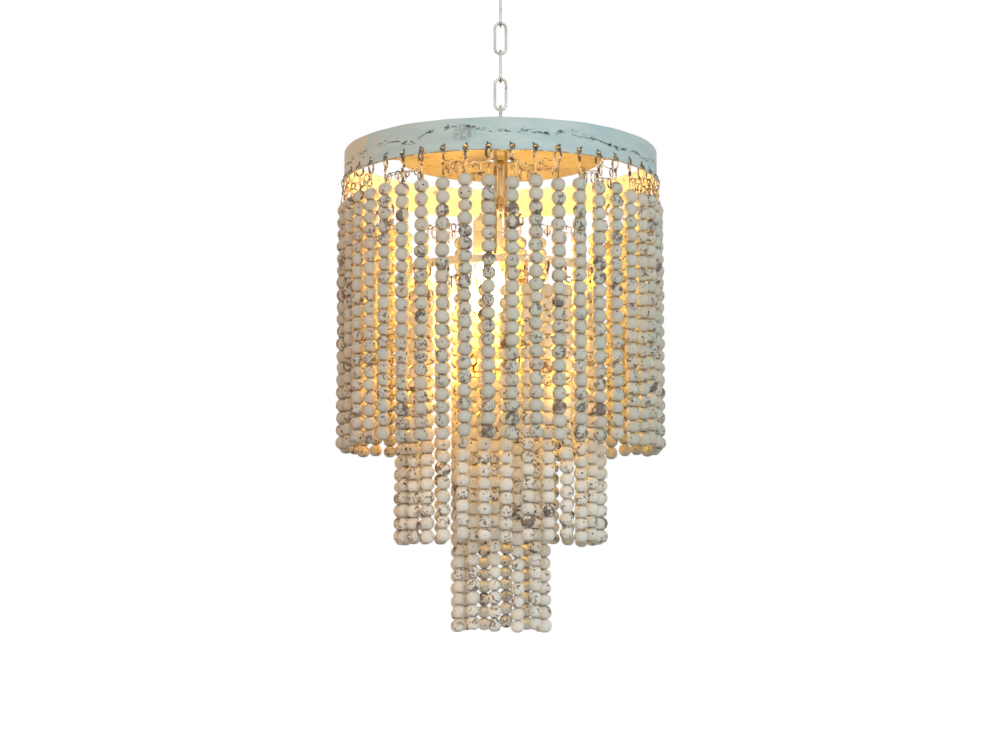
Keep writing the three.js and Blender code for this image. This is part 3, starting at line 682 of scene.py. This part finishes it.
# Each bead's own wear, brownness and paleness, and its ends, tint and stain.
def beadTraits(plan, angles, levels, shape):
    looks, more = beadLooks, beadLooks["leftWarmTintAndWear"]
    # leftSide weights the painted warm light and the extra wear on the lamp's left.
    leftSide = np.clip(-np.cos(angles), 0, 1)[:, None] ** 2
    plain = rng.random(shape) < looks["plainShare"]
    wear = np.where(plain, looks["plainWear"], rng.uniform(*looks["wear"], shape)) + more["wear"] * leftSide
    isBrown = rng.random(shape) < looks["brownShare"]
    brown = np.where(isBrown, rng.uniform(*looks["brown"], shape), rng.uniform(*looks["faintBrown"], shape))
    brown = np.clip(brown + more["brown"] * leftSide * rng.random(shape), 0, 1)
    # Each bead's paleness: its tier's level, partly painted light, with a random spread.
    pale = np.clip(plan["pale"] + rng.uniform(-looks["paleSpread"], looks["paleSpread"], shape), 0, 1)
    tint = rng.uniform(*looks["tint"], shape) + more["tint"] * leftSide
    stained = rng.random(shape) < looks["stainShare"]
    stain = np.where(stained, rng.uniform(*looks["stain"], shape), 0.0)
    whole = shape + (len(levels), beadPlan["around"])
    traits = [np.broadcast_to(trait[:, :, None, None], whole) for trait in (wear, brown, pale, tint, stain)]
    ends = np.broadcast_to(levels[:, None], whole)
    return np.stack(traits[:3], -1), np.stack([ends, *traits[3:]], -1)


def addBeads(name, points, attributes):
    strings, beads, rings, around = points.shape[:4]
    starts = rings * around * np.arange(strings * beads)[:, None, None]
    ends = np.array([np.arange(around)[::-1], (rings - 1) * around + np.arange(around)])
    quads = (gridFaces(rings, around) + starts).reshape(-1, 4).tolist()
    caps = (ends + starts).reshape(-1, around).tolist()
    piece = addPiece(name, points, quads + caps, woodBeads)
    piece.data.polygons.foreach_set("use_smooth", [True] * len(quads) + [False] * len(caps))
    for label, values in attributes.items():
        attribute = piece.data.attributes.new(label, "FLOAT_VECTOR", "POINT")
        attribute.data.foreach_set("vector", np.ascontiguousarray(values, np.float32).ravel())
    return piece


# Wires of a group of strings. Each loop is a tall oval through its hole, wound two or three times and
# twisted towards its foot. A short coil closes the foot, a bowed shank runs on into the top bead, and thin
# wires with spare rings sag between the shanks.
wirePlan = {
    "loopRadius": 0.00075,
    "overHinge": 0.0036,  # up to the middle of the wires at the loop's top
    "halfHeight": (0.0066, 0.0088),
    "halfWidth": (0.0036, 0.0050),
    "yaw": 0.6,  # spread in radians
    "yawMost": 1.0,
    "lean": 0.0024,
    "steps": 22,
    "sides": 6,
    "tripleShare": 0.8,  # of the loops that are wound three times, the others twice
    "roundShift": (0.00065, 0.0012),  # from the bundle's middle to its wires, in the hole and at the foot
    "thinRadius": 0.00072,
    "thinSides": 5,
    "coilTurns": 2.5,
    "coilSteps": 21,
    "coilRadius": 0.0013,
    "coilRise": 0.004,
    "shankBow": 0.0008,
    "shankLap": (0.0003, 0.002),  # up into the coil and down into the bead
    "spreaderRadius": 0.00055,
    "spreaderSag": (-0.0018, 0.003),
    "spreaderRise": ((0.001, 0.012), (0.008, 0.021)),  # of the two wires in each gap, over the top bead
    "spreaderSteps": 9,
    "ringRadius": 0.00081,
    "ringHalf": (0.0042, 0.0072),  # half a spare ring's width and height
    "ringSpread": (0.4, 1.15),
    "ringSteps": 20,
    "ringLift": 0.001,
    "ringPlaces": ((1, 4), (5, 8)),  # steps of the wire where its two rings hang
}


def loopParts(plan, angle, drop):
    yaw = np.clip(rng.normal(0, wirePlan["yaw"]), -wirePlan["yawMost"], wirePlan["yawMost"])
    hang = plan["hang"] * facing(angle)
    across = np.cross(facing(angle), upward)
    tall, wide = rng.uniform(*wirePlan["halfHeight"]), rng.uniform(*wirePlan["halfWidth"])
    centre = plan["hinge"] + wirePlan["overHinge"] - tall
    rounds = 3 if rng.random() < wirePlan["tripleShare"] else 2
    around = (turn * np.arange(wirePlan["steps"] * rounds) / wirePlan["steps"])[:, None]
    footShare = (1 - np.cos(around)) / 2
    inHole, atFoot = wirePlan["roundShift"]
    shift = (inHole + (atFoot - inHole) * footShare) * np.cos(around / rounds)
    shift = shift + wirePlan["lean"] * rng.uniform(-1, 1) * footShare
    height = centre + tall * np.cos(around) + inHole * np.sin(around / rounds) * (rounds - 2)
    outward = facing((angle + yaw * np.abs(np.sin(around / 2)))[:, 0])
    loop = hang + wide * np.sin(around) * outward + height * upward + shift * across
    foot = centre - tall
    share = np.linspace(0, 1, wirePlan["coilSteps"])[:, None]
    coil = hang + wirePlan["coilRadius"] * facing(turn * wirePlan["coilTurns"] * share[:, 0])
    coil = coil + (foot - wirePlan["coilRise"] * share) * upward
    down = np.linspace(0, 1, 6)[:, None]
    bow = np.array([*rng.uniform(-1, 1, 2), 0.0]) * wirePlan["shankBow"]
    intoCoil, intoBead = wirePlan["shankLap"]
    fall = (plan["beadTop"] - drop - intoBead - foot) * down
    shank = hang + bow * np.sin(math.pi * down) + (foot + intoCoil + fall) * upward
    return hang, [
        tubeAlong(loop, wirePlan["loopRadius"], wirePlan["sides"], closed=True, side=across),
        tubeAlong(coil, wirePlan["thinRadius"], wirePlan["thinSides"], side=upward),
        tubeAlong(shank, wirePlan["thinRadius"], wirePlan["sides"]),
    ]


def spareRing(top):
    outward = facing(rng.uniform(0, math.pi))
    wide, tall = np.array(wirePlan["ringHalf"]) * rng.uniform(*wirePlan["ringSpread"], 2)
    around = stepsRound(wirePlan["ringSteps"])[:, None]
    height = tall * (np.cos(around) - 1) + wirePlan["ringLift"]
    ring = top + wide * np.sin(around) * outward + height * upward
    side = np.cross(outward, upward)
    return tubeAlong(ring, wirePlan["ringRadius"], wirePlan["thinSides"], closed=True, side=side)


def spreaderParts(plan, hangs):
    parts = []
    share = np.linspace(0, 1, wirePlan["spreaderSteps"])[:, None]
    for here, there in zip(hangs[:-1], hangs[1:]):
        for rise in wirePlan["spreaderRise"]:
            first, last = plan["beadTop"] + rng.uniform(*rise, 2)
            sag = rng.uniform(*wirePlan["spreaderSag"])
            height = first + (last - first) * share - sag * np.sin(math.pi * share)
            path = here + (there - here) * share + height * upward
            parts.append(tubeAlong(path, wirePlan["spreaderRadius"], wirePlan["thinSides"], side=upward))
            places = [rng.integers(*reach) for reach in wirePlan["ringPlaces"]]
            parts += [spareRing(path[place]) for place in places]
    return parts


for tier, plan in tierPlans.items():
    angles = stringAngles(plan)
    drops = rng.uniform(-1, 1, len(angles)) * beadPlan["dropSpread"]
    points, pattern, levels = beadArrays(plan, angles, drops)
    traits, shade = beadTraits(plan, angles, levels, points.shape[:2])
    attributes = {"beadPlace": pattern, "beadTraits": traits, "beadShade": shade}
    for group in range(plan["groups"]):
        node = f"{tier}_strings_{group + 1:02d}"
        rows = slice(group * stringsPerGroup, (group + 1) * stringsPerGroup)
        ownRows = {label: values[rows] for label, values in attributes.items()}
        beads = addBeads(f"{tier}_beads_{group + 1:02d}", points[rows], ownRows)
        standFor(beads, node, node)
        wires, hangs = [], []
        for angle, drop in zip(angles[rows], drops[rows]):
            hang, parts = loopParts(plan, angle, drop)
            wires += parts
            hangs.append(hang)
        wires += spreaderParts(plan, hangs)
        loops = addPiece(f"{tier}_loops_{group + 1:02d}", *joinParts(wires), darkWire)
        standFor(loops, node, node)
    print(tier, "strings ready:", len(angles))

# A hoop's sheet with a row of round holes: each string's share of the sheet is a square patch round its
# hole, whose rings run from the circle out to the square, and a plain grid beside and above the patch.
hoopPlans = {
    "outer_band": {"tier": "outer", "radius": 0.1999, "top": -0.28705, "height": 0.04, "waver": 0.0003},
    "middle_hoop": {"tier": "middle", "radius": 0.1259, "top": -0.43705, "height": 0.01, "waver": 0.0},
    "inner_hoop": {"tier": "inner", "radius": 0.0549, "top": -0.54405, "height": 0.01, "waver": 0.0},
}
sheetPlan = {
    "thickness": 0.0015,
    "hole": 0.0025,
    "inset": 0.005,
    "sideCells": 6,
    "patchRings": 3,
    "aboveRows": 8,
    "reach": 2e-6,
    "ease": 0.0003,
    "sharpFrom": 50,
    "inwardWaves": ((3, 1, 1), (7, 0.6, 0), (16, 0.4, 2)),  # number round the band, height and phase
    "topWaves": ((11, 1, 0), (23, 0.7, 1)),
    "topDip": 2.38,
}


def sheetWithHoles(radius, height, count):
    side, inset = sheetPlan["sideCells"], sheetPlan["inset"]
    width = turn * radius / count
    tick = np.linspace(-inset, inset, side + 1)
    edge = np.full(side, inset)
    square = np.concatenate([
        np.stack([tick[:-1], -edge], -1), np.stack([edge, tick[:-1]], -1),
        np.stack([tick[:0:-1], edge], -1), np.stack([-edge, tick[:0:-1]], -1),
    ])
    direction = square / np.linalg.norm(square, axis=1, keepdims=True)
    share = np.linspace(0, 1, sheetPlan["patchRings"])[:, None, None]
    patch = (1 - share) * sheetPlan["hole"] * direction + share * square + [0, inset]
    parts = [(patch, gridFaces(sheetPlan["patchRings"], len(square))[:, ::-1])]
    beside = np.linspace(inset, width - inset, side + 1)
    blocks = [(beside, tick + inset)]
    if height > 2 * inset:
        above = np.linspace(2 * inset, height, sheetPlan["aboveRows"] + 1)
        blocks.append((np.concatenate([tick, beside[1:]]), above))
    for columns, rows in blocks:
        faces = gridFaces(len(rows), len(columns), wrapColumns=False)
        parts.append((np.stack(np.meshgrid(columns, rows), -1), faces))
    flat, faces = joinParts(parts)
    cells = np.arange(count)[:, None]
    whole = flat + np.stack([cells * width, cells * 0.0], -1)
    return whole.reshape(-1, 2), (np.array(faces) + len(flat) * cells[..., None]).reshape(-1, 4)


# The sum of some waves round a hoop, from -1 to 0.
def wavesRound(angle, waves):
    most = sum(height for _, height, _ in waves)
    total = sum(height * np.sin(number * angle + phase) for number, height, phase in waves)
    return (total - most) / (2 * most)


def addHoop(name, plan, material):
    tier = tierPlans[plan["tier"]]
    flat, faces = sheetWithHoles(plan["radius"], plan["height"], tier["groups"] * stringsPerGroup)
    angle = flat[:, 0] / plan["radius"] + stringAngles(tier)[0]
    radius = plan["radius"] + plan["waver"] * wavesRound(angle, sheetPlan["inwardWaves"])
    upShare = flat[:, 1] / plan["height"]
    dip = plan["waver"] * sheetPlan["topDip"] * upShare ** 3 * wavesRound(angle, sheetPlan["topWaves"])
    height = plan["top"] - plan["height"] + flat[:, 1] + dip
    points = np.stack([radius * np.cos(angle), radius * np.sin(angle), height], -1)
    piece = weld(addPiece(name, points, faces, material), sheetPlan["reach"], outwards=False)
    solid = piece.modifiers.new("sheet", "SOLIDIFY")
    solid.thickness = sheetPlan["thickness"]
    solid.offset = -1.0
    solid.use_even_offset = True
    return easeEdges(piece, sheetPlan["ease"], sheetPlan["sharpFrom"], False)


for node, plan in hoopPlans.items():
    isBand = node == "outer_band"
    piece = addHoop(f"{node}_sheet", plan, bandPaint if isBand else creamHoop)
    standFor(piece, "lamp_frame", node)
print("hoops ready")

# Straps, bracket and nuts keep the solids' shape, with eased edges.
for node in ("long_strap", "cross_strap", "lamp_bracket"):
    standFor(easedCopy(node, hoopMetal), "lamp_frame", node)
for place in ("rod", "bracket", "nipple"):
    for node in (f"{place}_nut_upper", f"{place}_nut_lower"):
        standFor(easedCopy(node, agedBrass), "lamp_frame", node)
standFor(easedCopy("hook_lock_nut", agedBrass), "ceiling_mount", "hook_lock_nut")

# Turned pieces. Profiles are [radius, height] pairs.
carrierPlan = {"radius": 0.1295, "bore": 0.02, "top": -0.29085, "bottom": -0.29235, "ease": 0.0004}
profile = [
    [carrierPlan["radius"], carrierPlan["bottom"]], [carrierPlan["radius"], carrierPlan["top"]],
    [carrierPlan["bore"], carrierPlan["top"]], [carrierPlan["bore"], carrierPlan["bottom"]],
]
profile = softened(profile, carrierPlan["ease"], closed=True)
piece = addTurned("carrier_plate_disc", profile, hoopMetal, 120, closed=True)
standFor(piece, "lamp_frame", "carrier_plate")

# Hangers of the two smaller hoops: rods with a flared pad under the carrier plate and a rounded foot.
hangerPlan = {
    "count": 3,
    "rod": 0.002,
    "foot": ((0.0, 0.0), (0.0012, 0.0002), (0.002, 0.001)),
    "pad": 0.005,
    "padThickness": 0.0015,
    "padEase": 0.0003,
    "flare": (0.0015, 0.0025),  # its width and height
    "lap": 0.008,  # down past the hoop's top
    "sink": 0.0005,  # into the hoop's sheet
    "seat": 0.0003,  # gap under the carrier plate
}
for node in ("middle_hoop", "inner_hoop"):
    hoop = hoopPlans[node]
    tier = tierPlans[hoop["tier"]]
    rod, pad = hangerPlan["rod"], hangerPlan["pad"]
    circle = hoop["radius"] - sheetPlan["thickness"] + hangerPlan["sink"] - rod
    foot, top = hoop["top"] - hangerPlan["lap"], carrierPlan["bottom"] - hangerPlan["seat"]
    padFoot = top - hangerPlan["padThickness"]
    flareWidth, flareHeight = hangerPlan["flare"]
    share = np.linspace(0, 1, 6)
    flared = np.stack([rod + flareWidth * share ** 2, padFoot - flareHeight * (1 - share)], -1)
    padProfile = softened([[rod, padFoot], [pad, padFoot], [pad, top], [0, top]], hangerPlan["padEase"])
    profile = np.concatenate([np.array(hangerPlan["foot"]) + [0, foot], flared, padProfile[1:]])
    places = circle * facing(front + tier["turned"] * stringSpacing(tier) + stepsRound(hangerPlan["count"]))
    rods = [turnedSurface(profile, 16, place) for place in places]
    piece = weld(addPiece(f"{node}_hangers", *joinParts(rods), hoopMetal))
    standFor(piece, "lamp_frame", node)

# Ceiling plate: a turned rose with a shallow step, its rim rounded, and three screw holes cut through.
platePlan = {
    "profile": ((0, -0.005), (0.022, -0.005), (0.0232, -0.004), (0.0428, -0.0038), (0.045, -0.0022),
                (0.045, 0), (0, 0)),
    "ease": 0.0009,
    "screws": 3,
    "screwCircle": 0.032,
    "screwBore": ((0, -0.01), (0.0025, -0.01), (0.0025, 0.005), (0, 0.005)),
}
profile = softened(platePlan["profile"], platePlan["ease"], 3)
plate = addTurned("ceiling_plate_rose", profile, agedBrass, 96)
screws = platePlan["screws"]
places = platePlan["screwCircle"] * facing(front + turn / screws / 2 + stepsRound(screws))
bores = [turnedSurface(platePlan["screwBore"], 24, place) for place in places]
cutter = weld(addPiece("screwBores", *joinParts(bores), agedBrass, smooth=False))
cut = plate.modifiers.new("screwHoles", "BOOLEAN")
cut.object = cutter
cut.solver = "EXACT"
settle(plate)
bpy.data.objects.remove(cutter)
standFor(plate, "ceiling_mount", "ceiling_plate")


# Points of a circle in the YZ plane.
def ringPath(plan, angle):
    heights = plan["centre"] + plan["ring"] * np.sin(angle)
    return np.stack([0 * angle, plan["ring"] * np.cos(angle), heights], -1)


# Ceiling hook: a wire carried down from the plate and round an open ring, with a rounded tip.
hookPlan = {"wire": 0.0025, "ring": 0.0115, "centre": -0.0305, "arc": 285, "shankTop": -0.0018,
            "steps": 60, "sides": 16, "tip": 0.035, "tipLeast": 0.06}
share = np.linspace(0, 1, hookPlan["steps"])
taper = hookPlan["wire"] * np.sqrt(np.clip((1 - share) / hookPlan["tip"], hookPlan["tipLeast"], 1))
shankFoot = hookPlan["centre"] + hookPlan["ring"]
shank = np.linspace(hookPlan["shankTop"], shankFoot, 8)[:, None] * upward
arc = ringPath(hookPlan, math.pi / 2 - math.radians(hookPlan["arc"]) * share)
parts = [
    tubeAlong(arc, taper, hookPlan["sides"], side=rightward),
    tubeAlong(shank, hookPlan["wire"], hookPlan["sides"], side=rightward),
]
piece = weld(addPiece("ceiling_hook_wire", *joinParts(parts), paleNickel))
standFor(piece, "ceiling_mount", "ceiling_hook")

# Chain links: a wire carried round two half circles and two straights, a little thicker at its weld.
chainPlan = {"links": 5, "wire": 0.00175, "bend": 0.00725, "halfLength": 0.0204, "first": -0.05785,
             "step": 0.037, "thinner": 0.03, "weldReach": 0.002, "sides": 12}
half = np.linspace(-math.pi / 2, math.pi / 2, 17)
bend, stretch = chainPlan["bend"], chainPlan["halfLength"] - chainPlan["bend"]
upper = np.stack([-bend * np.sin(half), stretch + bend * np.cos(half)], -1)
straight = stretch * np.linspace(1, -1, 9)[1:-1]
leftSide = np.stack([np.full(7, -bend), straight], -1)
oval = np.concatenate([upper, leftSide, -upper, -leftSide])
atWeld = np.exp(-((oval[:, 1] / chainPlan["weldReach"]) ** 2)) * (oval[:, 0] > 0)
thickness = chainPlan["wire"] * (1 - chainPlan["thinner"] * (1 - atWeld))
for link in range(chainPlan["links"]):
    across = rightward if link % 2 == 0 else np.array([0, 1.0, 0])
    centre = chainPlan["first"] - link * chainPlan["step"]
    path = oval[:, :1] * across + (oval[:, 1:] + centre) * upward
    side = np.cross(across, upward)
    tube = tubeAlong(path, thickness, chainPlan["sides"], closed=True, side=side)
    node = f"chain_link_{link + 1}"
    standFor(weld(addPiece(f"{node}_wire", *tube, paleNickel)), node, node)


# A thread follows a helix: from its foot to its top, and outside least, the radius dips with the cosine of
# the angle less the height in pitches.
def threadShape(pitch, depth, foot, top, least=0.0):
    def shape(radius, height, around):
        wave = (1 + np.cos(around - turn * height / pitch)) / 2
        onThread = (height > foot) & (height < top) & (radius > least)
        return radius - depth * wave * onThread
    return shape


# Eye bolt: a ring on a long threaded rod.
eyePlan = {
    "wire": 0.002,
    "ring": 0.011,
    "centre": -0.2332,
    "rod": 0.003,
    "rodReach": (-0.35935, -0.2562),
    "neck": ((0.0027, -0.2482), (0.0018, -0.2442), (0, -0.2442)),
    "thread": (0.0015, 0.0003, -0.35835, -0.2582),  # pitch, depth, foot and top
}
eye = ringPath(eyePlan, stepsRound(48))
profile = [(0, eyePlan["rodReach"][0]), *wall(eyePlan["rod"], *eyePlan["rodReach"], 220), *eyePlan["neck"]]
rod = turnedSurface(profile, 20, shape=threadShape(*eyePlan["thread"]))
parts = [tubeAlong(eye, eyePlan["wire"], 14, closed=True, side=rightward), rod]
piece = weld(addPiece("eye_bolt_rod", *joinParts(parts), paleNickel))
standFor(piece, "lamp_frame", "eye_bolt")
print("metalwork ready")

# The lamp: nipple, grip, lampholder and bulb stand round one axis beside the rod. The holder's ribs are
# shallow flutes that end before its edges.
lampAxis = (-0.016, 0.0)
nipplePlan = {"radius": 0.005, "bore": 0.0035, "reach": (-0.3687, -0.33605),
              "thread": (0.001, 0.0003, -0.3682, -0.33655, 0.004)}
gripPlan = {"ease": 0.0006, "profile": (
    (0.007, -0.34345), (0.007, -0.33345), (0.0055, -0.32945), (0.00325, -0.32945), (0.00325, -0.33575),
    (0.0053, -0.33575), (0.0053, -0.34345),
)}
capPlan = {
    "radius": 0.0185,
    "ribs": 28,
    "ribDepth": 0.0004,
    "ribReach": (-0.3867, -0.3737),
    "ribEnd": 0.0015,
    "wall": (-0.3872, -0.3732),
    "foot": (0.018, -0.3877),
    "crown": ((0.0173, -0.3715), (0.0105, -0.3643), (0.0095, -0.3637), (0.0053, -0.3637), (0.0053, -0.3662),
              (0.009, -0.3662), (0.0165, -0.3737), (0.0165, -0.3877)),
}
shellPlan = {"ease": 0.0005, "profile": (
    (0.0185, -0.416), (0.0185, -0.388), (0.0162, -0.388), (0.0162, -0.383),
    (0.0147, -0.383), (0.0147, -0.390), (0.0169, -0.390), (0.0169, -0.416),
)}
nippleFoot, nippleTop = nipplePlan["reach"]
profile = [*wall(nipplePlan["radius"], nippleFoot, nippleTop, 80),
           (nipplePlan["bore"], nippleTop), (nipplePlan["bore"], nippleFoot)]
piece = addTurned("threaded_nipple_tube", profile, agedBrass, 24, lampAxis, closed=True,
                  shape=threadShape(*nipplePlan["thread"]))
standFor(piece, "lamp_frame", "threaded_nipple")


def flutes(radius, height, around):
    low, high = capPlan["ribReach"]
    along = np.clip(np.minimum(height - low, high - height) / capPlan["ribEnd"], 0, 1)
    wave = np.clip(np.cos(capPlan["ribs"] * around), -0.3, 1)
    onWall = radius > capPlan["radius"] - 0.0001
    return radius - capPlan["ribDepth"] * along * (1 - wave) / 2 * onWall


profile = softened(gripPlan["profile"], gripPlan["ease"], closed=True)
gripBody = addTurned("cord_grip_body", profile, holderCream, 40, lampAxis, closed=True)
profile = [capPlan["foot"], *wall(capPlan["radius"], *capPlan["wall"], 12), *capPlan["crown"]]
capBody = addTurned("lampholder_cap_body", profile, holderCream, 112, lampAxis, closed=True, shape=flutes)
profile = softened(shellPlan["profile"], shellPlan["ease"], closed=True)
shellBody = addTurned("lampholder_shell_body", profile, holderCream, 80, lampAxis, closed=True)
for node, piece in {"cord_grip": gripBody, "lampholder_cap": capBody, "lampholder_shell": shellBody}.items():
    standFor(piece, "lamp_frame", node)

# The bulb's cap has a rolled screw thread under an insulated tip. Its glass is most of a sphere, and then a
# smooth cubic slope up to a straight neck.
bulbPlan = {
    "capRadius": 0.0132,
    "capReach": (-0.4133, -0.3932),
    "capTip": ((0.0108, -0.3912), (0.005, -0.3896), (0.004, -0.3886), (0, -0.3886)),
    "thread": (0.0036, 0.0011, -0.4113, -0.3946),
    "globe": 0.0275,
    "globeCentre": -0.4661,
    "globeShare": 0.64,  # of the way from the globe's foot to its top
    "leave": 0.026,  # pull of the slope at the globe and at the neck
    "arrive": 0.02,
    "neck": ((0.0125, -0.4216), (0.0125, -0.4136), (0, -0.4136)),
}
profile = [(0, bulbPlan["capReach"][0]), *wall(bulbPlan["capRadius"], *bulbPlan["capReach"], 60),
           *bulbPlan["capTip"]]
piece = addTurned("bulb_cap_screw", profile, paleNickel, 40, lampAxis, shape=threadShape(*bulbPlan["thread"]))
standFor(piece, "lamp_frame", "bulb_cap")
around = np.linspace(0, bulbPlan["globeShare"], 22) * math.pi
globe = bulbPlan["globe"] * np.stack([np.sin(around), -np.cos(around)], -1) + [0, bulbPlan["globeCentre"]]
leave = bulbPlan["leave"] * np.array([math.cos(around[-1]), math.sin(around[-1])])
arrive = np.array([0, bulbPlan["arrive"]])
share = np.linspace(0, 1, 12)[1:, None]
eased = 3 * share ** 2 - 2 * share ** 3
slope = (1 - eased) * globe[-1] + eased * np.array(bulbPlan["neck"][0])
slope = slope + share * (1 - share) ** 2 * leave - share ** 2 * (1 - share) * arrive
piece = addTurned("bulb_glass_pear", [*globe, *slope, *bulbPlan["neck"][1:]], litGlass, 48, lampAxis)
standFor(piece, "lamp_frame", "bulb_glass")

# Solids that stay as they are, inside the holder.
plainSolids = {"lampholder_insert": porcelain, "screw_shell": agedBrass, "centre_contact": agedBrass}
for node, material in plainSolids.items():
    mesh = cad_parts[node].data
    mesh.materials.clear()
    mesh.materials.append(material)
print("lamp ready")

# Floor, sky and camera. The sky lights softly from the front, cooler from the right and warmer from the
# left, and less from the back. Floor and sky look white to the camera, and the sky in gloss too.
studio = {
    "floorHeight": -2.4,
    "floorReach": 4.0,
    "floorPaint": (0.86, 0.86, 0.85, 1),
    "white": (1, 1, 1, 1),
    "neutral": (0.88, 0.92, 0.95, 1),
    "warm": (2.4, 1.45, 0.80, 1),
    "bright": (1.6, 1.62, 1.58, 1),
    "level": 0.50,
    "backLevel": 0.20,
    "keyPower": 21.0,
    "keyPlace": (0.5, -2.2, -0.35),
    "keySize": 1.0,
    "keyAim": (0, 0, -0.55),
}
floorPaint, bench, surface = newMaterial("paleFloor", Roughness=0.9, **{"Base Color": studio["floorPaint"]})
seen = bench.add("ShaderNodeLightPath").outputs["Is Camera Ray"]
bright = bench.add("ShaderNodeEmission", {"Color": studio["white"]})
mix = bench.add("ShaderNodeMixShader", {0: seen, 1: surface.outputs[0], 2: bright.outputs[0]})
bench.fill(floorPaint.node_tree.nodes["Material Output"].inputs["Surface"], mix.outputs[0])
corners = np.array([[-1, -1, 0], [1, -1, 0], [1, 1, 0], [-1, 1, 0]]) * studio["floorReach"]
corners = corners + studio["floorHeight"] * upward
addPiece("floor", corners, [[0, 1, 2, 3]], floorPaint, smooth=False)

world = bpy.data.worlds.new("softStudio")
world.use_nodes = True
world.node_tree.nodes.clear()
scene.world = world
bench = NodeBench(world.node_tree)
leftward, backward, _ = bench.split(bench.add("ShaderNodeTexCoord").outputs["Generated"])
tint = bench.blend(bench.ramp(leftward, -0.35, -0.9), studio["neutral"], studio["warm"])
tint = bench.blend(bench.ramp(leftward, 0.45, 0.95), tint, studio["bright"])
skyLevel = bench.ramp(backward, -0.3, 0.7, studio["level"], studio["backLevel"])
soft = bench.add("ShaderNodeBackground", {"Color": tint, "Strength": skyLevel})
white = bench.add("ShaderNodeBackground", {"Color": studio["white"]})
rays = bench.add("ShaderNodeLightPath").outputs
clear = bench.most(*(rays[f"Is {kind} Ray"] for kind in ("Camera", "Glossy", "Transmission")))
sky = bench.add("ShaderNodeMixShader", {0: clear, 1: soft.outputs[0], 2: white.outputs[0]})
bench.add("ShaderNodeOutputWorld", {"Surface": sky.outputs[0]})


def addLight(name, kind, power, colour, place):
    data = bpy.data.lights.new(name, kind)
    data.energy = power
    data.color = colour[:3]
    light = addObject(name, data)
    light.location = place
    return light


key = addLight("keyLight", "AREA", studio["keyPower"], studio["neutral"], studio["keyPlace"])
key.data.size = studio["keySize"]
aim = np.subtract(studio["keyAim"], studio["keyPlace"])
key.rotation_euler = (math.atan2(math.hypot(aim[0], aim[1]), -aim[2]), 0, math.atan2(-aim[0], aim[1]))

# Small lights between the outer and middle strings, for the share of the bulb's glow that reaches there.
glowPlan = {"count": 6, "ring": 0.163, "height": -0.595,
            "power": 0.10, "size": 0.012, "colour": (1.0, 0.47, 0.05)}
places = glowPlan["ring"] * facing(stepsRound(glowPlan["count"])) + glowPlan["height"] * upward
for number, place in enumerate(places, 1):
    light = addLight(f"glow_{number}", "POINT", glowPlan["power"], glowPlan["colour"], place)
    light.data.shadow_soft_size = glowPlan["size"]
    light.visible_camera = False
    light.visible_glossy = False

cameraPlan = {"place": (-0.0006, -2.327, -0.8405), "pitchUp": 6.63,
              "lens": 66.6, "film": 36.0, "farthest": 50.0}
camera = addObject("photoCamera", bpy.data.cameras.new("photoCamera"))
camera.data.lens = cameraPlan["lens"]
camera.data.sensor_width = cameraPlan["film"]
camera.data.clip_end = cameraPlan["farthest"]
camera.location = cameraPlan["place"]
camera.rotation_euler = (math.radians(90 + cameraPlan["pitchUp"]), 0, 0)
scene.camera = camera
scene.view_settings.view_transform = "Standard"
print("studio ready")
